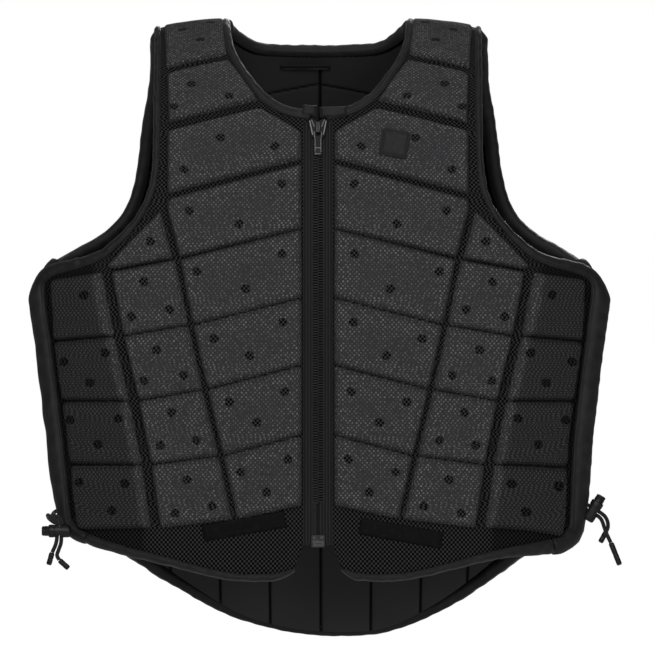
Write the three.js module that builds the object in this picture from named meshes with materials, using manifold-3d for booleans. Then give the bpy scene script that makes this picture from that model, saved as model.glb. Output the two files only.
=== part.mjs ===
// Equestrian body protector: segmented foam vest with a centre zip, laced sides and a long back tail.
// Millimetres, +Z up. The front faces -Y and the wearer's left is +X.
// The datum is the centre plane at the height of the inner shoulders.
import * as THREE from 'three';
import { mergeVertices } from 'three/addons/utils/BufferGeometryUtils.js';
import Module from 'manifold-3d';

const wasm = await Module();
wasm.setup();

// Body
const chestHalf = 290; // half the width at the armpits, over the side bindings
const frontLength = 540; // datum down to the lowest point of the front hem
const frontDepth = 98; // centre plane to the stitched face of the chest
const backDepth = 92; // centre plane to the stitched face of the shoulder blades
const rollDrop = 260; // drop at which the panels begin to roll towards the shoulders
const shoulderRise = 25; // top of the shoulders over the datum
const shoulderSlope = 9; // how much lower the outer end of a shoulder is
const strapInner = 92; // where the shoulders begin to slope
const strapOuter = 165; // outer end of the slope
const seamTurn = 96; // degrees of roll at which front and back shoulders meet
const seamGapTurn = 0.2; // open between them
const sectionPower = 2.4; // squareness of the horizontal sections
const edgeMargin = 6; // the side bindings stand this far outside the stitched face

// Panel build-up
const padRise = 10; // foam over the stitched face
const seamThickness = 8; // stitched face to the inner face
const padBevel = 10; // width of a pad's sloping edge
const liningGap = 2.4;
const liningThickness = 1.5;
const liningInset = 3; // the bindings cover its edge
const clearance = 0.4; // between neighbouring pieces

// Bindings
const neckBinding = 8;
const neckBindingFront = 17; // where it meets the zip
const armBinding = 8.5;
const sideBinding = 15;
const hemBinding = 11;
const bindingTop = 4; // over the stitched face
const bindingBottom = 9.6; // under the stitched face

// Zip
const zipDrop = 73; // datum down to the top of the slider
const zipClear = 15; // centre to the edge of the mesh
const chainHalf = 5.6; // half the width of the closed teeth
const chainThickness = 3.6;
const chainProud = 0.8; // teeth over the tape
const tapeThickness = 2;
const tapeSink = 2; // tape under the stitched face
const sliderLength = 20;
const sliderHalf = 9.2;
const plateThickness = 2.6;
const archWidth = 3;
const archLeg = 2;
const archClear = 3;
const archUpper = 5; // middle of the upper leg, over the middle of the slider
const archLower = -6.5;
const barHalf = 1; // half the height of the pull's hinge bar
const eyeLength = 4.4;
const pullLength = 26;
const pullWidth = 8;
const pullThickness = 1.6;
const boxLength = 12;
const boxHalf = 7;
const boxThickness = 3;
const boxMargin = 15; // foot of the box over the hem's stitched edge
const tabDrop = 66;
const tabHalf = 25;
const tabHeight = 12;
const tabThickness = 1.6;

// Trim: places as shares of chestHalf and frontLength
const badgeSide = 28;
const badgeCorner = 3;
const badgeThickness = 2;
const badgeLift = 0.3;
const badgePlace = { x: 0.262, down: 0.187 };
const badgeTurn = THREE.MathUtils.degToRad(-10);
const labelLength = 84;
const labelHeight = 17;
const labelThickness = 1;
const labelTurn = THREE.MathUtils.degToRad(10);
const leftLabel = { x: 0.286, down: 0.904 };
const rightLabel = { x: 0.255, down: 0.891 };
const neckLabel = { x: 0.045, down: 0.023 };
const neckLabelLength = 50;
const neckLabelHeight = 11;
const neckLabelLift = 1.3; // off the lining

// Lacing and cord locks
const cordDiameter = 4;
const laceDiameter = 3.6;
const tipRadius = 2.75;
const tipStart = 0.8; // a cord's end to its tip
const laceLoops = 5; // loops on each edge
const laceTop = 0.55; // first and last loop of the front, shares of frontLength
const laceBottom = 0.825;
const loopWidth = 7;
const loopHalf = 4.8;
const loopEye = 3.4;
const loopReach = 9; // middle of the loops off the mesh edge
const loopTapeInner = -1.5;
const loopTapeOuter = 8;
const loopTapeThickness = 1.2;
const barrelRadius = 6.5;
const barrelLength = 22;
const barrelHole = 4.7; // half the length of its cross hole
const barrelHolePlace = 10.5; // its middle, from the button's end
const barrelHoleHalf = 2.6;
const buttonRadius = 5;
const buttonOut = 7;
const buttonIn = 2.5;
const buttonTravel = 2;
const hangReach = 0.8; // where the cords hang, by the foot of the laced side, share of chestHalf
const hangDown = 5 / 6; // and share of frontLength
const rightLock = [-38, -55, -36.5]; // button's end of each barrel, from where the cords hang
const leftLock = [49.5, -29, -7.5];
const leftLockTurn = THREE.MathUtils.degToRad(31.5); // off upright, button out and up

// Routes of the cords that run through the locks, chosen points from the lacing to the tips,
// told from where the cords hang on their own side
const cordRoutes = {
  long_right: [
    [-10.6, -30.6, -4.4], [-14.5, -27, -7.5], [-20.5, -23, -11.5], [-27, -21.5, -15],
    [-32.2, -26, -17.6], [-34, -34, -19.5],
    [-33.6, -44, -20.5], [-30, -51, -22.5], [-26, -54.6, -26.5], [-25.3, -55, -31],
    [-25.3, -55, -36.5], [-25.3, -55, -43], [-25.8, -55.2, -49], [-28.4, -56.4, -56.5],
    [-29.6, -57, -61], [-27.4, -57, -65.5],
  ],
  short_right: [
    [-9.4, 19.6, -22], [-11.2, 16.5, -27], [-17.5, 7, -30.4], [-26, -3, -31],
    [-33.5, -12, -28.5], [-38, -22, -24.8],
    [-39.4, -34, -21.5], [-38.4, -44, -21], [-35, -51, -23], [-30.6, -54.6, -26.5],
    [-29.7, -55, -31], [-29.7, -55, -36.5], [-29.7, -55, -43], [-31, -55, -50], [-34.5, -55, -58],
  ],
  short_left: [
    [9.4, 19.6, -22], [11.2, 15.6, -26.2], [15.5, 5, -25], [20, -7, -18.5],
    [24.5, -17.5, -11.4], [29, -24.4, -7.6],
    [33.5, -28.3, -7.8], [37.9, -29, -10.2], [45.2, -29, -14.6], [52.4, -29, -19],
    [56.6, -28.6, -22.8], [59, -28, -28], [59.2, -28, -33.5], [57.6, -28.5, -37.5],
  ],
  long_left: [
    [10.6, -30.6, -4.4], [14, -27.2, -6.5], [18.5, -24.6, -9], [24, -24.6, -11],
    [30.5, -28.3, -11.8], [35.6, -29, -13.9], [42.9, -29, -18.3], [50.1, -29, -22.7],
    [53, -31.2, -26.2], [55.4, -34, -33], [58.4, -35, -41], [62, -35, -48.5],
  ],
};
const tipEnds = {
  long_right: [-18, -57, -74],
  short_right: [-38, -55, -70.5],
  short_left: [51.5, -29, -48.5],
  long_left: [71, -35, -71],
};

// Horizontal sections: down as a share of frontLength, half of chestHalf, depths of their own sizes
const bodySections = [
  { down: -0.05, half: 0.965, front: 0.97, back: 0.97 },
  { down: 0.2, half: 0.985, front: 1.0, back: 1.0 },
  { down: 0.467, half: 1.0, front: 1.0, back: 0.96 },
  { down: 0.565, half: 0.973, front: 0.965, back: 0.9 },
  { down: 0.65, half: 0.951, front: 0.93, back: 0.86 },
  { down: 0.75, half: 0.931, front: 0.91, back: 0.85 },
  { down: 0.87, half: 0.903, front: 0.91, back: 0.89 },
  { down: 1.0, half: 0.885, front: 0.93, back: 0.97 },
  { down: 1.1, half: 0.872, front: 0.95, back: 1.03 },
];

// Front outline: down as a share of frontLength, reach as a share of chestHalf
const frontNeck = [
  { down: -0.042, reach: 0.331 },
  { down: 0.0, reach: 0.322 },
  { down: 0.037, reach: 0.29 },
  { down: 0.067, reach: 0.252 },
  { down: 0.096, reach: 0.21 },
  { down: 0.12, reach: 0.162 },
  { down: 0.141, reach: 0.114 },
  { down: 0.156, reach: 0.0 },
];
const frontArmhole = [
  { down: 0.2, reach: 0.547 },
  { down: 0.259, reach: 0.557 },
  { down: 0.293, reach: 0.579 },
  { down: 0.326, reach: 0.614 },
  { down: 0.354, reach: 0.655 },
  { down: 0.372, reach: 0.69 },
  { down: 0.394, reach: 0.731 },
];

// Column seams of the front, shares of chestHalf: middle and wing start at them, outer is the side edge
const frontColumns = [
  { down: 0.283, middle: 0.571, wing: 0.571, outer: 0.571 },
  { down: 0.395, middle: 0.484, wing: 0.731, outer: 0.952 },
  { down: 0.52, middle: 0.438, wing: 0.69, outer: 0.93 },
  { down: 0.641, middle: 0.39, wing: 0.64, outer: 0.902 },
  { down: 0.763, middle: 0.338, wing: 0.597, outer: 0.875 },
  { down: 0.88, middle: 0.29, wing: 0.563, outer: 0.846 },
  { down: 0.974, middle: 0.262, wing: 0.545, outer: 0.83 },
];

// Row seams of the front, drops as shares of frontLength, where they meet each column seam
const frontRows = [
  { row: 'strap', inner: 0.022, middle: 0.052, split: 5 },
  { row: 'collar', inner: 0.107, middle: 0.152, split: 2 },
  { row: 'breast', inner: 0.217, middle: 0.283, split: 2 },
  { row: 'armpit', inner: 0.341, middle: 0.396, wing: 0.394, outer: 0.431, split: 1 },
  { row: 'ribs', inner: 0.469, middle: 0.517, wing: 0.537, outer: 0.548, split: 1 },
  { row: 'waist', inner: 0.593, middle: 0.637, wing: 0.659, outer: 0.659, split: 1 },
  { row: 'belly', inner: 0.722, middle: 0.761, wing: 0.778, outer: 0.778, split: 1 },
  { row: 'hip', inner: 0.85, middle: 0.878, wing: 0.893, outer: 0.884, split: 1 },
  { row: 'hem', inner: 0.957, middle: 0.974, wing: 0.939, outer: 0.9, split: 0 },
];

// Back outline and seams, in the same shares
const backNeck = [
  { down: -0.042, reach: 0.331 },
  { down: -0.015, reach: 0.317 },
  { down: 0.0, reach: 0.276 },
  { down: 0.012, reach: 0.228 },
];
const backArmhole = [
  { down: 0.02, reach: 0.55 },
  { down: 0.065, reach: 0.552 },
  { down: 0.139, reach: 0.579 },
  { down: 0.241, reach: 0.6 },
  { down: 0.287, reach: 0.624 },
  { down: 0.319, reach: 0.652 },
  { down: 0.346, reach: 0.697 },
  { down: 0.37, reach: 0.752 },
];
const backColumns = [
  { down: 0.012, inner: 0.228, middle: 0.61, wing: 0.61, outer: 0.61 },
  { down: 0.255, inner: 0.228, middle: 0.606, wing: 0.606, outer: 0.606 },
  { down: 0.385, inner: 0.228, middle: 0.56, wing: 0.752, outer: 0.925 },
  { down: 0.48, inner: 0.227, middle: 0.548, wing: 0.742, outer: 0.935 },
  { down: 0.65, inner: 0.225, middle: 0.535, wing: 0.712, outer: 0.89 },
  { down: 0.785, inner: 0.223, middle: 0.525, wing: 0.695, outer: 0.865 },
  { down: 0.925, inner: 0.22, middle: 0.512, wing: 0.668, outer: 0.832 },
  { down: 1.1, inner: 0.21, middle: 0.495, wing: 0.63, outer: 0.8 },
];
const backRows = [
  { row: 'strap', inner: 0.012, middle: 0.012, split: 4 },
  { row: 'nape', inner: 0.135, middle: 0.135, split: 2 },
  { row: 'blades', inner: 0.255, middle: 0.255, split: 1 },
  { row: 'armpit', inner: 0.39, middle: 0.385, wing: 0.37, outer: 0.411, split: 1 },
  { row: 'ribs', inner: 0.52, middle: 0.52, wing: 0.52, outer: 0.525, split: 1 },
  { row: 'waist', inner: 0.65, middle: 0.65, wing: 0.65, outer: 0.645, split: 1 },
  { row: 'loin', inner: 0.785, middle: 0.785, wing: 0.78, outer: 0.765, split: 1 },
  { row: 'seat', inner: 0.925, middle: 0.905, wing: 0.885, outer: 0.855, split: 1 },
  { row: 'tail', inner: 1.061, middle: 0.991, wing: 0.937, outer: 0.878, split: 1 },
];
const tailSag = 0.013; // the middle of the tail hangs lower by this share of frontLength

// Smooth value of a table column at a drop share
function trace(table, column, down) {
  const last = table.length - 1;
  if (down <= table[0].down) return table[0][column];
  if (down >= table[last].down) return table[last][column];
  const k = table.findIndex((row) => row.down > down) - 1;
  const slope = (i) => {
    const a = table[Math.max(i - 1, 0)];
    const b = table[Math.min(i + 1, last)];
    return (b[column] - a[column]) / (b.down - a.down);
  };
  const span = table[k + 1].down - table[k].down;
  const t = (down - table[k].down) / span;
  const tt = t * t;
  const ttt = tt * t;
  return (2 * ttt - 3 * tt + 1) * table[k][column] + (ttt - 2 * tt + t) * span * slope(k)
    + (3 * tt - 2 * ttt) * table[k + 1][column] + (ttt - tt) * span * slope(k + 1);
}

// Radius of the shoulder roll above its start, at a distance from the centre plane
function rollRadius(x) {
  const t = THREE.MathUtils.clamp((Math.abs(x) - strapInner) / (strapOuter - strapInner), 0, 1);
  return rollDrop + shoulderRise - shoulderSlope * t * t;
}

// A place on a panel is x across and w along it, up from the start of the roll
function alongAt(x, drop) {
  const rise = rollDrop - drop;
  if (rise <= 0) return rise;
  const radius = rollRadius(x);
  return radius * Math.asin(Math.min(rise / radius, 1));
}

function dropAt(x, w) {
  if (w <= 0) return rollDrop - w;
  const radius = rollRadius(x);
  return rollDrop - radius * Math.sin(Math.min(w / radius, Math.PI / 2));
}

// Point on the stitched face; side is -1 in front and +1 behind
function facePoint(x, w, side) {
  const radius = rollRadius(x);
  const turn = Math.max(w, 0) / radius;
  const z = w <= 0 ? w - rollDrop : radius * Math.sin(turn) - rollDrop;
  const down = -z / frontLength;
  const half = trace(bodySections, 'half', down) * chestHalf + (side < 0 ? edgeMargin : 0);
  const facing = Math.cos(turn) >= 0 ? side : -side;
  const depth = facing < 0
    ? trace(bodySections, 'front', down) * frontDepth
    : trace(bodySections, 'back', down) * backDepth;
  const across = Math.min(Math.abs(x) / half, 0.999);
  const fullness = Math.pow(1 - Math.pow(across, sectionPower), 1 / sectionPower);
  return new THREE.Vector3(x, facing * depth * fullness * Math.abs(Math.cos(turn)), z);
}

// Frame on the stitched face: across points to +X, up along the panel, out away from the body
function faceFrame(x, w, side) {
  const step = 0.5;
  const point = facePoint(x, w, side);
  const right = facePoint(x + step, w, side).sub(facePoint(x - step, w, side));
  const up = facePoint(x, w + step, side).sub(facePoint(x, w - step, side)).normalize();
  const out = new THREE.Vector3().crossVectors(right, up).normalize().multiplyScalar(-side);
  const across = new THREE.Vector3().crossVectors(up, out).normalize().multiplyScalar(-side);
  return { point, across, up, out };
}

function offsetPoint(x, w, side, rise) {
  const frame = faceFrame(x, w, side);
  return frame.point.addScaledVector(frame.out, rise);
}

// Closed geometry from a list of points and triangles
function closedGeometry(points, triangles) {
  const geometry = new THREE.BufferGeometry();
  geometry.setAttribute('position', new THREE.Float32BufferAttribute(points.flatMap((p) => p.toArray()), 3));
  geometry.setIndex(triangles.flat());
  geometry.computeVertexNormals();
  return geometry;
}

// The same piece on the other side of the centre plane
function mirrored(geometry) {
  const copy = geometry.getIndex() ? geometry.clone() : mergeVertices(geometry);
  copy.scale(-1, 1, 1);
  const index = copy.getIndex();
  for (let i = 0; i < index.count; i += 3) {
    const swap = index.getX(i + 1);
    index.setX(i + 1, index.getX(i + 2));
    index.setX(i + 2, swap);
  }
  copy.computeVertexNormals();
  return copy;
}

function equalStops(steps) {
  return Array.from({ length: steps + 1 }, (_, k) => k / steps);
}

// Shares along one pad: edge, bevel, the top in equal steps, bevel, edge
function padStops(length, split) {
  if (split === 0) return [0, 1];
  const bevel = Math.min(padBevel / Math.max(length, 1), 0.3);
  return [0, ...equalStops(split).map((share) => bevel + (1 - 2 * bevel) * share), 1];
}

// Every grid line of a panel: rows of w at the knots, raised between the seams
function rowLines(rows, reachOf, plain) {
  const lines = [];
  let top = null;
  for (const row of rows) {
    const drops = {
      inner: row.inner,
      middle: row.middle,
      wing: row.wing ?? row.middle,
      outer: row.outer ?? row.wing ?? row.middle,
    };
    const bottom = {};
    for (const knot of Object.keys(drops)) {
      bottom[knot] = alongAt(reachOf(knot, drops[knot]), drops[knot] * frontLength);
    }
    if (!top) {
      const turn = THREE.MathUtils.degToRad(reachOf.seamTurn);
      top = {};
      for (const knot of Object.keys(drops)) top[knot] = turn * rollRadius(reachOf(knot, 0));
    }
    const stops = plain ? equalStops(row.split) : padStops(top.inner - bottom.inner, row.split);
    stops.forEach((share, k) => {
      if (k === 0 && lines.length) return;
      const line = { row: row.row, raised: k > 0 && k < stops.length - 1 };
      for (const knot of Object.keys(drops)) {
        line[knot] = THREE.MathUtils.lerp(top[knot], bottom[knot], share);
      }
      line.last = k === stops.length - 1;
      lines.push(line);
    });
    top = bottom;
  }
  return lines;
}

// Grid of nodes over a panel. Columns run from the inner edge through each pad to the outer edge.
// The strap rows have only the first column, the armpit row two and the rows below it three.
function panelGrid({ rows, side, reachOf, firstColumn, wholeRows, plain }) {
  const lines = rowLines(rows, reachOf, plain);
  const names = rows.map((row) => row.row);
  const columnsOf = (name) => {
    const k = names.indexOf(name);
    if (k < names.indexOf('armpit')) return 1;
    return k === names.indexOf('armpit') ? 2 : 3;
  };
  const splits = [firstColumn, 1, 1];
  const spans = splits.map((split) => (plain ? 2 : split + 2));
  const starts = [0, spans[0], spans[0] + spans[1], spans[0] + spans[1] + spans[2]];
  const knots = ['inner', 'middle', 'wing', 'outer'];
  const nodes = lines.map((line, j) => {
    const above = columnsOf(line.row);
    const below = columnsOf((lines[j + 1] ?? line).row);
    const count = Math.max(above, below);
    const row = [];
    for (let c = 0; c < count; c += 1) {
      const wa = line[knots[c]];
      const wb = line[knots[c + 1]];
      const xa = reachOf(knots[c], dropAt(strapInner, wa) / frontLength, line);
      const xb = reachOf(knots[c + 1], dropAt(strapInner, wb) / frontLength, line);
      const stops = plain ? equalStops(2) : padStops(xb - xa, splits[c]);
      stops.forEach((share, k) => {
        if (c > 0 && k === 0) return;
        const x = THREE.MathUtils.lerp(xa, xb, share);
        const seamHeight = THREE.MathUtils.degToRad(reachOf.seamTurn) * rollRadius(x);
        row.push({
          x,
          w: j === 0 ? seamHeight : THREE.MathUtils.lerp(wa, wb, share),
          raised: line.raised && k > 0 && k < stops.length - 1,
        });
      });
    }
    return row;
  });
  const width = nodes[nodes.length - 1].length;
  // Where a column first appears at a corner, its nodes meet in the last node of the row above
  const merged = nodes.map((row, j) => row.map((node, i) => {
    const above = starts[columnsOf(lines[j].row)];
    const collapsed = lines[j].last && wholeRows.includes(lines[j].row) && i > above;
    return collapsed ? row[above] : node;
  }));
  const cells = [];
  for (let j = 0; j + 1 < lines.length; j += 1) {
    const count = starts[columnsOf(lines[j + 1].row)];
    for (let i = 0; i < count; i += 1) cells.push([j, i]);
  }
  return { lines, nodes: merged, cells, starts, width, side };
}

// Solid between an outer and an inner face over the cells of a grid
function gridSolid(nodeAt, cells, outerOf, innerOf, flip) {
  const ids = new Map();
  const points = [];
  const idOf = (node) => {
    if (!ids.has(node)) {
      ids.set(node, points.length);
      points.push(outerOf(node), innerOf(node));
    }
    return ids.get(node);
  };
  const triangles = [];
  const edges = new Map();
  const addTriangle = (a, b, c) => {
    if (a === b || b === c || a === c) return;
    triangles.push(flip ? [a, c, b] : [a, b, c]);
    triangles.push(flip ? [a + 1, b + 1, c + 1] : [a + 1, c + 1, b + 1]);
    for (const [p, q] of [[a, b], [b, c], [c, a]]) {
      if (edges.has(`${q},${p}`)) edges.delete(`${q},${p}`);
      else edges.set(`${p},${q}`, [p, q]);
    }
  };
  for (const [j, i] of cells) {
    const a = idOf(nodeAt(j, i));
    const b = idOf(nodeAt(j + 1, i));
    const c = idOf(nodeAt(j + 1, i + 1));
    const d = idOf(nodeAt(j, i + 1));
    addTriangle(a, b, c);
    addTriangle(a, c, d);
  }
  for (const [p, q] of edges.values()) {
    triangles.push(flip ? [p, q, q + 1] : [p, q + 1, q]);
    triangles.push(flip ? [p, q + 1, p + 1] : [p, p + 1, q + 1]);
  }
  return closedGeometry(points, triangles);
}

// Panel with raised pads over a grid
function paddedPanel(grid) {
  const outerOf = (node) => offsetPoint(node.x, node.w, grid.side, node.raised ? padRise : 0);
  const innerOf = (node) => offsetPoint(node.x, node.w, grid.side, -seamThickness);
  return gridSolid((j, i) => grid.nodes[j][i], grid.cells, outerOf, innerOf, grid.side > 0);
}

// Ring sections joined into one closed body with flat ends
function sweptSolid(rings) {
  const size = rings[0].length;
  const points = rings.flat();
  const triangles = [];
  for (let k = 0; k + 1 < rings.length; k += 1) {
    for (let i = 0; i < size; i += 1) {
      const a = k * size + i;
      const b = k * size + ((i + 1) % size);
      triangles.push([a, b, b + size], [a, b + size, a + size]);
    }
  }
  const end = (rings.length - 1) * size;
  for (let i = 1; i + 1 < size; i += 1) {
    triangles.push([0, i + 1, i], [end, end + i, end + i + 1]);
  }
  return outwardGeometry(closedGeometry(points, triangles));
}

// Turns a closed body inside out if its faces point in
function outwardGeometry(geometry) {
  const position = geometry.getAttribute('position');
  const index = geometry.getIndex();
  const corner = (i) => new THREE.Vector3().fromBufferAttribute(position, index.getX(i));
  let volume = 0;
  for (let i = 0; i < index.count; i += 3) {
    volume += corner(i).dot(corner(i + 1).cross(corner(i + 2)));
  }
  if (volume < 0) {
    for (let i = 0; i < index.count; i += 3) {
      const swap = index.getX(i + 1);
      index.setX(i + 1, index.getX(i + 2));
      index.setX(i + 2, swap);
    }
    geometry.computeVertexNormals();
  }
  return geometry;
}

// Frames along the edge of a panel: aside points off the panel in its own face
function edgeFrames(places, side, hand) {
  const frames = places.map(({ x, w }) => faceFrame(x, w, side));
  return frames.map((frame, k) => {
    const before = frames[Math.max(k - 1, 0)];
    const after = frames[Math.min(k + 1, frames.length - 1)];
    const first = frame.point.clone().sub(before.point);
    const second = after.point.clone().sub(frame.point);
    const asideOf = (run) => new THREE.Vector3().crossVectors(run, frame.out).normalize();
    const a = asideOf(k === 0 ? second : first);
    const b = asideOf(k === frames.length - 1 ? first : second);
    const aside = a.clone().add(b).normalize().multiplyScalar(hand);
    const miter = 1 / Math.max(Math.abs(aside.dot(a)), 0.7);
    return { point: frame.point, out: frame.out, aside, miter };
  });
}

// Rounded tape along an edge, width by station
function edgeBinding(frames, widthOf) {
  const profile = [
    { aside: 0, rise: 0.6 * bindingTop },
    { aside: 0.5, rise: bindingTop },
    { aside: 1, rise: -0.15 * bindingBottom },
    { aside: 0.85, rise: -bindingBottom },
    { aside: 0, rise: -bindingBottom },
  ];
  return sweptSolid(frames.map((frame, k) => profile.map(({ aside, rise }) => frame.point.clone()
    .addScaledVector(frame.aside, (clearance + aside * widthOf(k)) * frame.miter)
    .addScaledVector(frame.out, rise))));
}

// Tube of round section through a smooth route
function cordTube(route, diameter, sides, pitch) {
  const curve = new THREE.CatmullRomCurve3(route, false, 'centripetal');
  const outline = new THREE.Shape(Array.from({ length: sides }, (_, k) => new THREE.Vector2(
    (diameter / 2) * Math.cos((2 * Math.PI * k) / sides),
    (diameter / 2) * Math.sin((2 * Math.PI * k) / sides),
  )));
  const steps = Math.max(2, Math.round(curve.getLength() / pitch));
  return new THREE.ExtrudeGeometry(outline, { steps, extrudePath: curve, bevelEnabled: false });
}

function solidOf(geometry) {
  const bare = new THREE.BufferGeometry();
  bare.setAttribute('position', geometry.getAttribute('position').clone());
  if (geometry.getIndex()) bare.setIndex(geometry.getIndex().clone());
  const merged = mergeVertices(bare, 1e-4);
  return new wasm.Manifold(new wasm.Mesh({
    numProp: 3,
    vertProperties: new Float32Array(merged.getAttribute('position').array),
    triVerts: new Uint32Array(merged.getIndex().array),
  }));
}

function geometryOf(solid) {
  const mesh = solid.getMesh();
  const geometry = new THREE.BufferGeometry();
  geometry.setAttribute('position', new THREE.BufferAttribute(new Float32Array(mesh.vertProperties), 3));
  geometry.setIndex(new THREE.BufferAttribute(new Uint32Array(mesh.triVerts), 1));
  geometry.computeVertexNormals();
  return geometry;
}

function moved(geometry, x, y, z) {
  return geometry.clone().translate(x, y, z);
}

const protector = new THREE.Group();

function finish(color, roughness, metalness = 0) {
  return { color, roughness, metalness };
}
const meshCloth = finish(0x34353a, 0.85);
const tapeCloth = finish(0x232429, 0.8);
const liningCloth = finish(0x17181b, 0.75);
const plastic = finish(0x1b1c1f, 0.45);
const rubber = finish(0x3a3b40, 0.6);
const paintedMetal = finish(0x222327, 0.4, 0.5);
const cordCloth = finish(0x26272b, 0.8);

function addPiece(name, geometry, look, parent = protector) {
  const mesh = new THREE.Mesh(geometry, new THREE.MeshStandardMaterial(look));
  mesh.name = name;
  parent.add(mesh);
  return mesh;
}

// Both sides of a piece made for the wearer's left
function addPair(stem, geometry, look) {
  addPiece(`${stem}_left`, geometry, look);
  addPiece(`${stem}_right`, mirrored(geometry), look);
}

// Distance of the front's knots from the centre plane
function frontReach(knot, down) {
  if (knot === 'inner') return Math.max(trace(frontNeck, 'reach', down) * chestHalf, zipClear);
  const overArm = knot === 'middle' && down < frontColumns[0].down;
  if (overArm || (knot === 'wing' && down < frontRows[3].wing)) {
    return trace(frontArmhole, 'reach', down) * chestHalf;
  }
  return trace(frontColumns, knot, down) * chestHalf;
}
frontReach.seamTurn = seamTurn;

function backReach(knot, down) {
  if (knot === 'inner' && down < backRows[0].inner) return trace(backNeck, 'reach', down) * chestHalf;
  const underArm = knot === 'inner' || down > backRows[2].inner + 0.001;
  const table = underArm && !(knot === 'wing' && down < backRows[3].wing) ? backColumns : backArmhole;
  return trace(table, table === backColumns ? knot : 'reach', down) * chestHalf;
}
backReach.seamTurn = 180 - seamTurn - seamGapTurn;

// The corner of a panel is rounded by drawing its node towards the panel
function roundCorner(grid, j, i, rowStep) {
  const corner = grid.nodes[j][i];
  const inside = grid.nodes[j + rowStep][i - 1];
  corner.x = THREE.MathUtils.lerp(corner.x, inside.x, 0.3);
  corner.w = THREE.MathUtils.lerp(corner.w, inside.w, 0.3);
}

const lineOf = (grid, row) => grid.lines.findIndex((line) => line.row === row && line.last);
const placesDown = (grid, i, from, to) => {
  const places = [];
  for (let j = from; j <= to; j += 1) places.push(grid.nodes[j][i]);
  return places;
};
const placesAcross = (grid, j, from, to) => {
  const places = [];
  const step = Math.sign(to - from);
  for (let i = from; i !== to + step; i += step) places.push(grid.nodes[j][i]);
  return places;
};

// Front halves
const frontGrid = panelGrid({
  rows: frontRows, side: -1, reachOf: frontReach, firstColumn: 2, wholeRows: ['breast'],
});
const frontEnd = frontGrid.lines.length - 1;
const frontArmpit = lineOf(frontGrid, 'armpit');
const frontOuter = frontGrid.starts[3];
roundCorner(frontGrid, frontArmpit, frontOuter, 1);
roundCorner(frontGrid, frontEnd, frontOuter, -1);
addPair('front_panel', paddedPanel(frontGrid), meshCloth);

const zipTopLine = frontGrid.nodes.findIndex((row) => row[0].x <= zipClear + 0.01);

// A run of frames that stops short of its neighbours' ends, and may leave out part of its last stretch
function frameRun(frames, from, to, cutEnd = 0) {
  const run = frames.slice(from, to + 1);
  const between = (a, b, share) => ({
    point: a.point.clone().lerp(b.point, share),
    out: a.out.clone().lerp(b.out, share).normalize(),
    aside: a.aside.clone().lerp(b.aside, share).normalize(),
    miter: THREE.MathUtils.lerp(a.miter, b.miter, share),
  });
  const last = run.length - 1;
  const nudge = (a, b) => (0.6 * clearance) / a.point.distanceTo(b.point);
  const start = between(run[0], run[1], nudge(run[0], run[1]));
  const end = between(run[last], run[last - 1], cutEnd + nudge(run[last], run[last - 1]));
  return [start, ...run.slice(1, last), end];
}

// Front bindings: the neck's, then armhole, side and hem along one edge
const frontNeckFrames = edgeFrames(placesDown(frontGrid, 0, 0, zipTopLine), -1, 1);
const frontNeckRun = frameRun(frontNeckFrames, 0, zipTopLine, 0.22);
const neckWidthOf = (k) => THREE.MathUtils.lerp(neckBinding, neckBindingFront, (k / zipTopLine) ** 2);
addPair('front_neck_binding', edgeBinding(frontNeckRun, neckWidthOf), tapeCloth);

const frontBreast = lineOf(frontGrid, 'breast');
const frontEdge = [
  ...placesDown(frontGrid, frontGrid.starts[1], 0, frontBreast),
  ...placesDown(frontGrid, frontGrid.starts[2], frontBreast + 1, frontArmpit),
  ...placesAcross(frontGrid, frontArmpit, frontGrid.starts[2] + 1, frontOuter),
  ...placesDown(frontGrid, frontOuter, frontArmpit + 1, frontEnd),
  ...placesAcross(frontGrid, frontEnd, frontOuter - 1, 0),
];
const frontEdgeFrames = edgeFrames(frontEdge, -1, -1);
const frontCorner = frontEdge.indexOf(frontGrid.nodes[frontArmpit][frontOuter]);
const frontHemCorner = frontEdge.indexOf(frontGrid.nodes[frontEnd][frontOuter]);
const frontParts = [
  { stem: 'front_armhole_binding', from: 0, to: frontCorner - 1, width: armBinding },
  { stem: 'front_side_binding', from: frontCorner - 1, to: frontHemCorner + 1, width: sideBinding },
  { stem: 'front_hem_binding', from: frontHemCorner + 1, to: frontEdge.length - 1, width: hemBinding },
];
for (const part of frontParts) {
  const count = part.to - part.from;
  const widthOf = (k) => (k === 0 || k === count ? Math.min(part.width, hemBinding) : part.width);
  addPair(part.stem, edgeBinding(frameRun(frontEdgeFrames, part.from, part.to), widthOf), tapeCloth);
}

// Back panel: the two sides with the spine column between them
const backGrid = panelGrid({
  rows: backRows, side: 1, reachOf: backReach, firstColumn: 1, wholeRows: ['blades'],
});
const backEnd = backGrid.lines.length - 1;
const backArmpit = lineOf(backGrid, 'armpit');
const backNape = lineOf(backGrid, 'strap');
const backOuter = backGrid.starts[3];
roundCorner(backGrid, backArmpit, backOuter, 1);
roundCorner(backGrid, backEnd, backOuter, -1);

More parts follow.
